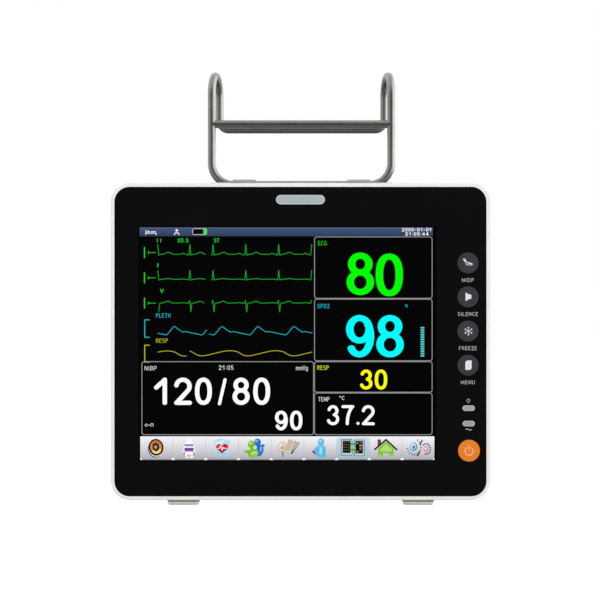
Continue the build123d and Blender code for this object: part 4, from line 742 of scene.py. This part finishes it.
def trace(base, lead, spike=limb_beat):
    """Paths of one heart trace, cut where the sweep has its gap."""
    wave, early = lead[2:]
    path = []
    for beat, following in zip(BEATS, BEATS[1:] + [BEATS[-1]]):
        beat_path, wave_start, wave_length, (lead_in, drop) = spike(beat, base, lead)
        path += beat_path + bump(beat + wave_start, wave_length, base, wave)
        if following - beat > LONG_BEAT:
            path += bump(following - 8.0, 4.6, base, early)
            path.append((following - lead_in, base + drop))
    path = [point for point in path if SWEEP[0] <= point[0] <= SWEEP[1]]
    return split_at([point for point in path if not SWEEP_GAP[0] < point[0] < SWEEP_GAP[1]], SWEEP_GAP[0])


def split_at(path, edge):
    """A path cut in two at a place along u."""
    before = [point for point in path if point[0] <= edge]
    after = [point for point in path if point[0] > edge]
    return [part for part in (before, after) if len(part) > 1]


def draw_traces():
    paths = trace(22.5, (8.3, 0.7, 1.7, 0.9)) + trace(43.2, (7.3, 0.6, 0.6, 0.3))
    paths += trace(62.9, (0.0, 0.0, 1.5, 0.3), chest_beat)
    show("heart_traces", [outline for path in paths for outline in band(path, 0.52, 3)], TRACE_GREEN)
    marks = []
    for v in (21.0, 42.0, 63.0):
        marks += band([(4.1, v - 4.2), (4.1, v + 4.2)], 0.9, 3)
        marks += band([(7.3, v - 1.1), (7.3, v + 1.1)], 0.45, 3) + band([(7.9, v), (9.6, v)], 0.6, 3)
        marks += band([(10.5, v), (13.4, v)], 0.45, 3)
    marks += word("II", 14.2, 9.2, 3.9, 3.5, 0.55) + word("X0.5", 31.6, 9.2, 9.0, 3.5, 0.5)
    marks += word("ST", 61.8, 9.2, 4.4, 3.5, 0.5) + word("I", 14.7, 29.8, 1.0, 3.5, 0.8)
    marks += word("V", 17.0, 51.2, 3.0, 3.5, 0.65)
    show("heart_marks", marks, (25, 215, 35))


def bracket(top, bottom):
    """Scale bracket at the left of a slow trace."""
    return band([(8.1, top), (4.3, top), (4.3, bottom), (8.1, bottom)], 0.8, 3)


PULSE = ((0, 0), (0.21, 7.5), (0.44, 2.5), (0.52, 3.0), (1, 0))  # quick rise, notch and slow fall
BREATH = ((0, 0), (0.1, 0.35), (0.45, 3.6), (0.56, 4.3), (0.68, 4.3), (0.78, 3.6), (0.92, 0.5), (1, 0))


def height_at(share, profile):
    """Height of a wave at a share of its period, along straight stretches between its points."""
    for (s0, h0), (s1, h1) in zip(profile, profile[1:]):
        if share <= s1:
            return h0 + (share - s0) / (s1 - s0) * (h1 - h0)
    return 0.0


def softened(path, passes):
    """A path with its corners eased, ends kept."""
    for _ in range(passes):
        middle = [
            (here[0], (before[1] + 2 * here[1] + after[1]) / 4)
            for before, here, after in zip(path, path[1:], path[2:])
        ]
        path = [path[0], *middle, path[-1]]
    return path


def slow_trace(first, last, base, period, offset, profile, passes=2):
    """Outlines of a wave between two places along u, with its corners softened in some passes."""
    steps = max(int((last - first) / 0.5), 4)
    path = []
    for i in range(steps + 1):
        u = first + (last - first) * i / steps
        path.append((u, base - height_at(((u - offset) / period) % 1.0, profile)))
    return band(softened(path, passes), 0.55, 3)


def draw_slow_traces():
    outlines = slow_trace(15.3, 55.6, 89.6, 29.6, 22.5, PULSE)
    outlines += slow_trace(58.0, 143.2, 89.6, 29.9, 62.0, PULSE)
    outlines += bracket(77.0, 91.4) + word("PLETH", 13.7, 71.5, 12.0, 3.6, TEXT_LINE)
    show("pulse_trace", outlines, TRACE_CYAN)
    outlines = slow_trace(15.3, 38.8, 107.1, 38.0, -0.7, BREATH, 3)
    outlines += slow_trace(41.9, 143.2, 106.9, 38.1, 51.4, BREATH, 3)
    outlines += bracket(98.0, 112.0) + word("RESP", 13.7, 92.4, 9.8, 3.6, TEXT_LINE)
    show("breath_trace", outlines, TRACE_YELLOW)


# ---- display: status line and toolbar ----
def draw_status_line():
    z = DISPLAY.z / MM
    fade = lit_fade("status_line", (66, 85, 120), (49, 61, 89), z - 0.3, z - 7.5)
    DISPLAY.lay("status_line", [plate(0, 0.1, RIGHT + 0.2, 7.5, 0.2, 2)], fade, 0.02)
    show("status_edge", [plate(0, 0.1, RIGHT + 0.2, 1, 0.2, 2)], (80, 98, 128), 0.025)
    show("battery_edge", [box_frame(43.8, 0.9, 56, 6.4, 1.5, 0.6)], (190, 190, 190), 0.035)
    show("battery_empty", [plate(44.3, 1.4, 53.9, 5.9, 0.8)], (5, 5, 5), 0.03)
    show("battery_charge", [plate(53, 1.3, 55.6, 6, 0.4)], (60, 235, 60), 0.04)
    marks = band([(5.2, 2.4), (5.2, 6.2)], 0.55, 3) + band([(5.2, 4.9), (13.8, 4.9), (13.8, 6.2)], 0.6, 3)
    marks += [ellipse((7.3, 3.6), (0.9, 0.8), 16)] + band([(9.4, 3.7), (13.4, 3.7)], 0.6, 3)
    marks.append(ellipse((30.9, 2.6), (1.1, 1.1), 16))
    marks += band([(28.9, 6.2), (29.7, 4.7), (32.1, 4.7), (32.9, 6.2)], 0.7, 3)
    marks += word("2000-01-01", 217.8, 0.6, 24.8, 2.9, 0.55) + word("21:05:44", 220.6, 4.1, 19.6, 2.9, 0.55)
    show("status_marks", marks, (245, 248, 255))


BAR_TOP = 173.7
BAR_BOTTOM = 193.3
BAR_LEFT = 0.6
BAR_EDGE = 0.9
CELL = 27.19
CELLS = 9
CHOSEN_CELL = 6
ICON_PROUD = 0.045
LAYER_STEP = 0.004  # each layer of an icon stands this much prouder


def draw_toolbar():
    z = DISPLAY.z / MM
    span = (z - BAR_TOP - 2, z - BAR_BOTTOM)
    right = BAR_LEFT + CELL * CELLS - 0.4
    grey = lit_fade("toolbar_face", (241, 240, 244), (174, 173, 182), *span)
    face = [plate(BAR_LEFT, BAR_TOP, right, BAR_BOTTOM, 0.3, 2)]
    DISPLAY.lay("toolbar", face, grey, 0.02)
    glint = [plate(BAR_LEFT, BAR_TOP, right, BAR_TOP + BAR_EDGE, 0.3, 2)]
    show("toolbar_glint", glint, (246, 246, 248), 0.025)
    shade = [plate(BAR_LEFT, BAR_BOTTOM - BAR_EDGE, right, BAR_BOTTOM, 0.3, 2)]
    show("toolbar_shade", shade, (150, 150, 156), 0.025)
    left = BAR_LEFT + CELL * CHOSEN_CELL
    blue = lit_fade("toolbar_chosen", (196, 220, 234), (152, 188, 206), *span)
    chosen = [plate(left + 0.5, BAR_TOP + 1, left + CELL - 0.5, BAR_BOTTOM - 1.3, 1.2)]
    DISPLAY.lay("toolbar_chosen", chosen, blue, 0.03)
    lines = []
    notches = []
    for i in range(CELLS + 1):
        u = BAR_LEFT + CELL * i
        if 0 < i < CELLS:
            lines.append(plate(u - 0.15, BAR_TOP + 1.5, u + 0.15, BAR_BOTTOM - 1, 0.1, 1))
        corners = [(u - 1.7, BAR_BOTTOM), (u, BAR_BOTTOM - 2), (u + 1.7, BAR_BOTTOM)]
        notches.append([[(min(max(x, BAR_LEFT), right), v) for x, v in corners]])
    show("toolbar_lines", lines, (176, 178, 184), 0.03)
    show("toolbar_notches", notches, WHITE, 0.04)
    icons = [
        speaker_icon, printer_icon, heart_icon, people_icon, files_icon,
        patient_icon, screens_icon, house_icon, dials_icon,
    ]
    for i, icon in enumerate(icons):
        draw_icon(icon.__name__, icon(), BAR_LEFT + CELL * (i + 0.5), (BAR_TOP + BAR_BOTTOM) / 2)


def draw_icon(name, layers, u, v):
    """Lays an icon's coloured layers one on another around a centre."""
    for i, (color, outlines) in enumerate(layers):
        show(f"{name}_{i}", moved(outlines, u, v), color, ICON_PROUD + LAYER_STEP * i)


def speaker_icon():
    """A loudspeaker cone, seen from the front."""
    tilt = -10
    ovals = (
        ((18, 18, 20), (-1.3, 0.9), (5.9, 6.9)),
        ((226, 226, 230), (-0.8, 0.4), (5.9, 6.8)),
        ((20, 17, 16), (-0.5, -0.7), (6.2, 7)),
        ((94, 54, 24), (-0.5, -0.8), (5, 5.8)),
        ((220, 138, 64), (-0.5, -0.8), (4.8, 5.6)),
        ((188, 102, 44), (-0.9, -3.6), (3.2, 2)),
        ((252, 218, 128), (0.1, 2), (3.5, 2.5)),
        ((48, 28, 20), (-0.6, -0.7), (2.9, 3.4)),
        ((124, 112, 116), (-0.7, -0.7), (1.5, 1.8)),
        ((232, 228, 236), (-1, -1.1), (0.6, 0.7)),
    )
    return [(color, [oval(centre, radii, tilt)]) for color, centre, radii in ovals]


def printer_icon():
    """A strip printer: paper above, body with two bands, printed strip below."""
    paper = [(-1.9, -8), (1.6, -8), (2.8, -3.4), (-3, -3.4)]
    pulse = [(-3.4, 6.8), (-1.6, 6.6), (-0.9, 5), (0, 7.8), (0.6, 6), (3.2, 5.8)]
    wings = [plate(-6, -2.8, -3.4, 4.6, 1.2), plate(3, -2.8, 5.6, 4.6, 1.2)]
    corners = [[[(-5.8, 5.4), (-3.6, 2.8), (-3.2, 5.4)]], [[(5.4, 5.4), (3.2, 2.8), (2.8, 5.4)]]]
    return [
        ((222, 222, 228), wings),
        ((252, 252, 255), [[paper], plate(-4.6, -4, 4.2, 5, 0.8)]),
        ((136, 138, 146), corners),
        ((250, 250, 252), [plate(-3.6, 3.8, 3.3, 8.2, 0.6)]),
        ((156, 128, 196), [plate(-4.1, -3.3, 3.5, -1.5, 0.4)]),
        ((116, 74, 156), [plate(-4.1, -0.3, 3.5, 2.3, 0.4)]),
        ((182, 160, 206), [plate(-3.9, 2.3, 3.3, 3, 0.2)]),
        ((222, 96, 92), band(pulse, 0.5, 3)),
    ]


def heart_shape(width, height):
    """A filled heart, point down."""
    points = []
    for i in range(40):
        t = 2 * math.pi * i / 40
        u = math.sin(t) ** 3
        v = -(13 * math.cos(t) - 5 * math.cos(2 * t) - 2 * math.cos(3 * t) - math.cos(4 * t)) / 16
        points.append((u * width / 2, v * height / 2))
    return [points]


def heart_icon():
    """A heart with a pulse across it, on loose pale sheets."""
    sheet = [(-7.2, -6), (-2.6, -7.8), (7.2, -6.4), (5.4, -0.8)]
    sheet += [(6.2, 2.8), (2.8, 7.6), (-6.4, 4), (-5.2, -1)]
    glint = [(-5.8, -5.2), (2, -6.6), (-1, -1.4), (-4.6, 1.2)]
    fold = [(-5.8, 3.8), (-1, 2.4), (4.4, 4.6), (2.6, 7.3)]
    pulse = [(-3.8, 0.4), (-1.8, 0), (-1, -1.9), (0.1, 1.8), (0.9, -0.8), (1.5, 0.2), (3.8, 0)]
    return [
        ((176, 224, 241), [[sheet]]),
        ((214, 240, 250), [[glint]]),
        ((146, 208, 236), [[fold]]),
        ((202, 22, 34), [heart_shape(10.2, 9.4)]),
        ((232, 84, 88), [oval((-2.4, -1.8), (1.6, 1), -30)]),
        (WHITE, band(pulse, 0.6, 3)),
    ]


def people_icon():
    """Two figures, the green one in front of the blue one."""
    blue, green = (34, 116, 196), (124, 192, 44)
    return [
        (blue, [ellipse((2.2, -4.8), (2.9, 3.2)), oval((4, 2.2), (3.1, 4.9), 16)]),
        (blue, band([(2.6, -1), (7.2, -2.2)], 2.2, 5)),
        ((122, 190, 236), [ellipse((1.4, -5.9), (1.4, 1.1)), oval((5, 0.8), (0.8, 2.4), 10)]),
        (green, [ellipse((-3, -3.2), (2.9, 3.2)), oval((-1.4, 4.3), (4.5, 3.7), -14)]),
        (green, band([(-3.2, 2.4), (-7.8, 3)], 2.2, 5) + band([(-3, -1), (-2, 3)], 2.4, 5)),
        ((192, 226, 108), [ellipse((-3.7, -4.3), (1.5, 1.2))]),
        ((190, 220, 104), [oval((-0.8, 4.6), (2.9, 2.1), -14)]),
        ((104, 166, 40), band([(-2.6, 6.2), (0.8, 5.4)], 0.6, 4)),
    ]


def files_icon():
    """A magnifying glass in front of a fanned stack of sheets."""
    layers = []
    for angle, u in ((36, 4.2), (28, 2.9), (20, 1.6)):
        place = (u, -1.8)
        layers += [
            ((74, 60, 52), [turned(plate(-2.9, -5.8, 3.5, 5.8, 0.3), angle, place)]),
            ((242, 236, 226), [turned(plate(-3.2, -6, 2.9, 5.5, 0.3), angle, place)]),
            ((204, 186, 168), [turned(plate(-2.6, -5.2, 2.2, 4.7, 0.2), angle, place)]),
        ]
    return layers + [
        ((54, 140, 206), band([(-4, 3.4), (-3.8, 6.8)], 1.3, 4)),
        ((228, 176, 92), [ellipse((-4.6, -1), (3.6, 4.2))]),
        ((244, 232, 206), [ellipse((-4.8, -1.2), (2.7, 3.3))]),
        ((146, 164, 200), [ellipse((-4.5, -0.8), (1.6, 2))]),
        ((236, 240, 248), [ellipse((-5, -1.6), (0.7, 0.9))]),
    ]


def patient_icon():
    """A figure with a cuff on one arm."""
    body = [(-2.8, -1.4), (-0.6, -2.6), (1.8, -2.6), (4, -1.4)]
    body += [(4.6, 1), (4.5, 7.4), (-2.2, 7.6), (-2.9, 3)]
    blue, pale, deep = (92, 194, 230), (152, 222, 246), (62, 160, 204)
    return [
        (blue, [ellipse((0.6, -5.2), (2.7, 3)), [body]]),
        (blue, band([(-2, -0.6), (-5, 2.6)], 2.6, 5) + band([(-5, 5), (-2, 5.8)], 1.7, 5)),
        (pale, [ellipse((0, -6), (1.3, 1.3)), plate(-0.8, -1.4, 1.6, 5.4, 1)]),
        (deep, band([(3.1, 0.6), (3, 7)], 0.45, 3) + band([(-2.4, 1.6), (-2.3, 7)], 0.45, 3)),
        ((178, 44, 158), band([(-6, 2.9), (-4.2, 4)], 1.9, 5)),
    ]


def screens_icon():
    """Two small displays with arrows between them."""
    shell = [plate(-10, -7.4, -0.6, 6.2, 0.9), plate(0.8, -7, 9.6, 6.6, 0.9)]
    silver = [plate(-9.5, -6.9, -1, 5.8, 0.7), plate(1.3, -6.6, 9.1, 6.2, 0.7)]
    faces = [plate(-8.6, -6.2, -2, 4, 0.3), plate(2, -5.9, 8.2, 4.4, 0.3)]
    dim = []
    for row in range(4):
        for column in range(3):
            u, v = -7.9 + column * 1.9, -5.0 + row * 2.3
            dim += band([(u, v), (u + 0.5, v - 0.7), (u + 0.9, v + 0.2)], 0.35, 2)
    arrow = [(-2.4, -0.9), (0.2, -0.9), (0.2, -2), (2.4, 0), (0.2, 2), (0.2, 0.9), (-2.4, 0.9)]
    return [
        ((66, 72, 78), shell),
        ((198, 206, 210), silver),
        ((10, 12, 14), faces),
        ((128, 122, 62), dim),
        ((196, 66, 44), [plate(5.6, -4.8, 7.4, -3.8, 0.2), plate(5.4, 1.2, 7, 2.2, 0.2)]),
        ((214, 196, 70), [plate(5.2, -2.6, 7.6, -1.8, 0.2), plate(3, 2.6, 4.6, 3.3, 0.2)]),
        ((86, 184, 200), [plate(2.8, -4.6, 4.4, -3.6, 0.2), plate(5.4, -0.4, 7.4, 0.5, 0.2)]),
        ((64, 176, 74), [turned([arrow], 0, (0.4, -3.4)), turned([arrow], 180, (0, 1.4))]),
    ]


def house_icon():
    """A house with a thin dark roof and a chimney."""
    body = [(-6.4, 7.2), (-6.4, 0.4), (0.2, -5.8), (6.6, 0.4), (6.6, 7.2), (3, 7.2), (3, 4.2)]
    body += [(-2.4, 4.2), (-2.4, 7.2)]
    roof = [(-9, 1), (0.2, -7), (9, 1.2)]
    return [
        ((70, 44, 36), [[[(-6.8, -7.2), (-4, -7.2), (-4, -3), (-6.8, -0.6)]]]),
        ((124, 72, 54), [[[(-6.2, -6.4), (-4.7, -6.4), (-4.7, -3), (-6.2, -1.6)]]]),
        ((132, 192, 60), [[body]]),
        ((178, 222, 112), [[[(-4.6, 1), (0.2, -3.8), (5, 1), (5, 2.8), (-4.6, 2.8)]]]),
        ((154, 210, 80), [ellipse((-4.5, 6.4), (1.7, 1.4)), ellipse((4.8, 6.4), (1.7, 1.4))]),
        ((62, 34, 28), band(roof, 1.5, 4)),
    ]


def dials_icon():
    """Two dials with tick marks round them."""
    ticks = []
    for centre, radius, start, count in (((-3.6, -1), 5.6, -60, 12), ((6.3, 0.6), 3.7, -130, 13)):
        for i in range(count):
            angle = math.radians(start + 250 / count * i)
            u, v = centre[0] + radius * math.cos(angle), centre[1] + radius * 1.15 * math.sin(angle)
            ticks.append(turned(plate(-0.75, -0.4, 0.75, 0.4, 0.15, 1), math.degrees(angle), (u, v)))
    return [
        ((70, 72, 82), ticks),
        ((30, 30, 36), band([(3.2, -6.6), (1.2, -3)], 1.1, 3) + band([(1, 3), (-0.8, 6.4)], 1.1, 3)),
        ((90, 152, 206), [ellipse((-4, -1.2), (3.1, 3.6))]),
        ((214, 232, 246), [ellipse((-4.3, -1.5), (2.2, 2.7))]),
        ((70, 120, 176), [ellipse((-3.9, -0.8), (1.2, 1.5))]),
        ((224, 118, 158), [ellipse((6.2, 0.6), (2, 2.3))]),
        ((250, 232, 240), [ellipse((6, 0.4), (1.1, 1.3))]),
    ]


# ---- printing on the panel and on the keys ----
KEY_WORDS = {  # word and its width
    "nibp_button": ("NIBP", 9.8),
    "silence_button": ("SILENCE", 16.6),
    "freeze_button": ("FREEZE", 14.8),
    "menu_button": ("MENU", 11.4),
}
WORD_DROP = 12.6  # from a key's centre
WORD_HEIGHT = 3.2
INK_PROUD = 0.02


def panel_printing():
    """Lettering under the keys and the two small signs beside the lamps."""
    ink = printed("panel_ink", linear((200, 200, 204)))
    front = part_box("front_panel")[0].y
    for node, (text, width) in KEY_WORDS.items():
        key = middle_of(node)
        outlines = word(text, -width / 2, WORD_DROP, width, WORD_HEIGHT, 0.36)
        Surface(key.x, front, key.z, "case").lay("label_" + node, outlines, ink, INK_PROUD)
    lamp_low, lamp_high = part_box("lamp_lenses")
    middle = middle_of("lamp_lenses").x
    above = Surface(middle, front, lamp_high.z, "case")
    above.lay("sign_lamp", band(ring((-0.3, -2.4), (1.4, 1.6), 1.2), 0.38), ink, INK_PROUD)
    below = Surface(middle, front, lamp_low.z, "case")
    turns = [i / 12 for i in range(13)]
    wave = [(-2.5 + 4.8 * turn, 1.1 + 0.55 * math.sin(2 * math.pi * turn - math.pi)) for turn in turns]
    below.lay("sign_mains", band(wave, 0.5, 5), ink, INK_PROUD)


def key_printing():
    """The sign on each key."""
    ink = printed("key_ink", linear((230, 232, 235)))
    pale_orange = printed("power_ink", linear((252, 196, 158)))
    signs = {
        "nibp_button": cuff_sign(),
        "silence_button": horn_sign(),
        "freeze_button": snowflake_sign(),
        "menu_button": page_sign(),
        "power_button": standby_sign(),
    }
    for node, outlines in signs.items():
        key = middle_of(node)
        face = Surface(key.x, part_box(node)[0].y, key.z, node)
        material = pale_orange if node == "power_button" else ink
        face.lay("sign_" + node, outlines, material, 0.03)


def horn_sign():
    """A loudspeaker from the side."""
    return [[[(-2, -3.7), (0.9, -2), (2.8, -1.9), (2.8, 1.6), (0.9, 1.7), (-2, 3.6)]]]


def cuff_sign():
    """A bent arm with a pressure cuff on it."""
    outlines = band([(-3.2, -3), (-1.4, -0.6)], 1.5, 6) + band([(-1.4, -0.6), (3.6, 0.9)], 1, 6)
    return outlines + band([(-2, 0.6), (-0.8, 1.5), (3.2, 1.8)], 0.45, 4)


def snowflake_sign():
    """Six arms with forked ends."""
    shapes = band([(0, 0), (3.4, 0)], 0.52, 4) + band([(3.1, -0.6), (2.4, 0), (3.1, 0.6)], 0.52, 4)
    return [turned(outlines, 60 * i + 90, (0.4, 0)) for i in range(6) for outlines in shapes]


def page_sign():
    """A page with two cut corners."""
    return [[[(-2.2, -2.4), (-0.8, -3.9), (3.1, -3.9), (3.1, 2.4), (1.7, 3.9), (-2.2, 3.9)]]]


def standby_sign():
    """A generic standby mark: a broken ring with a short bar through the break."""
    return band(arc((0, 0.3), (3.4, 3.4), -55, 235, 28), 0.75) + band([(0, -4.2), (0, -0.6)], 0.75)


# ---- stage ----
FLOOR_GLOW = 0.42  # what the floor gives off to every ray
FLOOR_SEEN = 0.5  # and further to the camera, so it meets the white surround without a line


def studio():
    """Pale floor, soft lights and a white surround."""
    bpy.ops.mesh.primitive_plane_add(size=80)
    floor = bpy.context.object
    floor.name = "floor"
    floor.visible_glossy = False
    shader = Shader("floor_paint")
    seen = shader.add("ShaderNodeLightPath").outputs["Is Camera Ray"]
    mottle = shader.remap(shader.noise(25, 4), 0, 1)
    floor.data.materials.append(
        shader.finish(
            Base_Color=shader.blend(mottle, (0.5, 0.5, 0.5), (0.53, 0.53, 0.53)),
            Roughness=1.0,
            Specular_IOR_Level=0.0,
            Emission_Color=(1, 1, 1, 1),
            Emission_Strength=shader.math("ADD", shader.math("MULTIPLY", seen, FLOOR_SEEN), FLOOR_GLOW),
        )
    )
    soft_box("key_light", (-1.2, -1.7, 1.6), 1.4, 22.5)
    soft_box("fill_light", (1.4, -1.7, 0.9), 1.4, 15)
    soft_box("top_light", (0.0, 0.3, 2.2), 2.0, 12)
    soft_box("back_light", (0.6, 2.0, 1.2), 1.4, 9)
    surround()


def soft_box(name, place, size, power):
    """A square light aimed at the object, which leaves no highlight of its own."""
    light_data = bpy.data.lights.new(name, "AREA")
    light_data.size = size
    light_data.energy = power
    lamp = bpy.data.objects.new(name, light_data)
    bpy.context.scene.collection.objects.link(lamp)
    lamp.location = place
    lamp.visible_glossy = False
    target = Vector((0, 0, 0.15))
    lamp.rotation_euler = (target - Vector(place)).to_track_quat("-Z", "Y").to_euler()


SOFT_LIGHT = 0.37
REFLECTED = (  # what shiny parts see: axis, start and end of the rise along it, brightness added
    ("X", 0.3, 1.0, 1.7),
    ("X", -0.2, -1.0, 0.5),
    ("Z", 0.2, 1.0, 0.58),
    ("Y", 0.1, 0.8, 0.5),
)
REFLECTED_BASE = 0.13


def surround():
    """World: white to the camera, even soft light on surfaces, and a dim banded room for reflections."""
    world = bpy.data.worlds.new("surround")
    bpy.context.scene.world = world
    world.use_nodes = True
    nodes = Nodes(world.node_tree)
    directions = nodes.add("ShaderNodeTexCoord").outputs["Generated"]
    split = nodes.add("ShaderNodeSeparateXYZ", {"Vector": directions})
    path = nodes.add("ShaderNodeLightPath")
    room = REFLECTED_BASE
    for axis, start, end, amount in REFLECTED:
        rise = nodes.add("ShaderNodeMapRange", interpolation_type="SMOOTHSTEP")
        limits = {"From Min": start, "From Max": end, "To Min": 0.0, "To Max": amount}
        nodes.feed(rise, {"Value": split.outputs[axis], **limits})
        room = nodes.math("ADD", rise.outputs["Result"], room)
    strength = nodes.choose(path.outputs["Is Glossy Ray"], SOFT_LIGHT, room)
    strength = nodes.choose(path.outputs["Is Camera Ray"], strength, 1.0)
    nodes.feed(world.node_tree.nodes["Background"], {"Strength": strength, "Color": (1, 1, 1, 1)})


CAMERA_DISTANCE = 1.6  # metres, as is the next
CAMERA_ASIDE = 0.018
SEEN_WIDTH = 498.3  # what the picture spans at the front's depth
SENSOR = 36.0
PICTURE_CENTRE_RISE = 34.55  # the picture's middle is this far above the middle of the front
PICTURE_CENTRE_ASIDE = -0.35  # and this far to its side


def camera():
    """Camera level with the middle of the front, a little to the right, shifted to frame the handle."""
    data = bpy.data.cameras.new("camera")
    width_seen = SEEN_WIDTH * MM
    data.sensor_width = SENSOR
    data.lens = CAMERA_DISTANCE / width_seen * SENSOR
    data.shift_x = (PICTURE_CENTRE_ASIDE * MM - CAMERA_ASIDE) / width_seen
    data.shift_y = PICTURE_CENTRE_RISE * MM / width_seen
    viewer = bpy.data.objects.new("camera", data)
    bpy.context.scene.collection.objects.link(viewer)
    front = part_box("front_bezel")[0].y
    viewer.location = (CAMERA_ASIDE, front - CAMERA_DISTANCE, middle_of("front_bezel").z)
    viewer.rotation_euler = (math.radians(90), 0, 0)
    bpy.context.scene.camera = viewer


# ---- build ----
LAMP_PITCH = 12.8
LAMP_TONE = 0.8


def dress_nodes():
    """Gives every CAD node its slot's material."""
    materials = slot_materials()
    materials["lamp_lens_pair"] = frosted_lens("lamp_lens_pair", "lamp_lenses", LAMP_PITCH, LAMP_TONE)
    for node, piece in NODES.items():
        slot = "lamp_lens_pair" if node == "lamp_lenses" else SLOT_OF[node]
        piece.data.materials.clear()
        piece.data.materials.append(materials[slot])


dress_nodes()
draw_boxes()
draw_numbers()
draw_traces()
draw_slow_traces()
draw_status_line()
draw_toolbar()
panel_printing()
key_printing()
studio()
camera()
bpy.context.scene.view_settings.view_transform = "Standard"
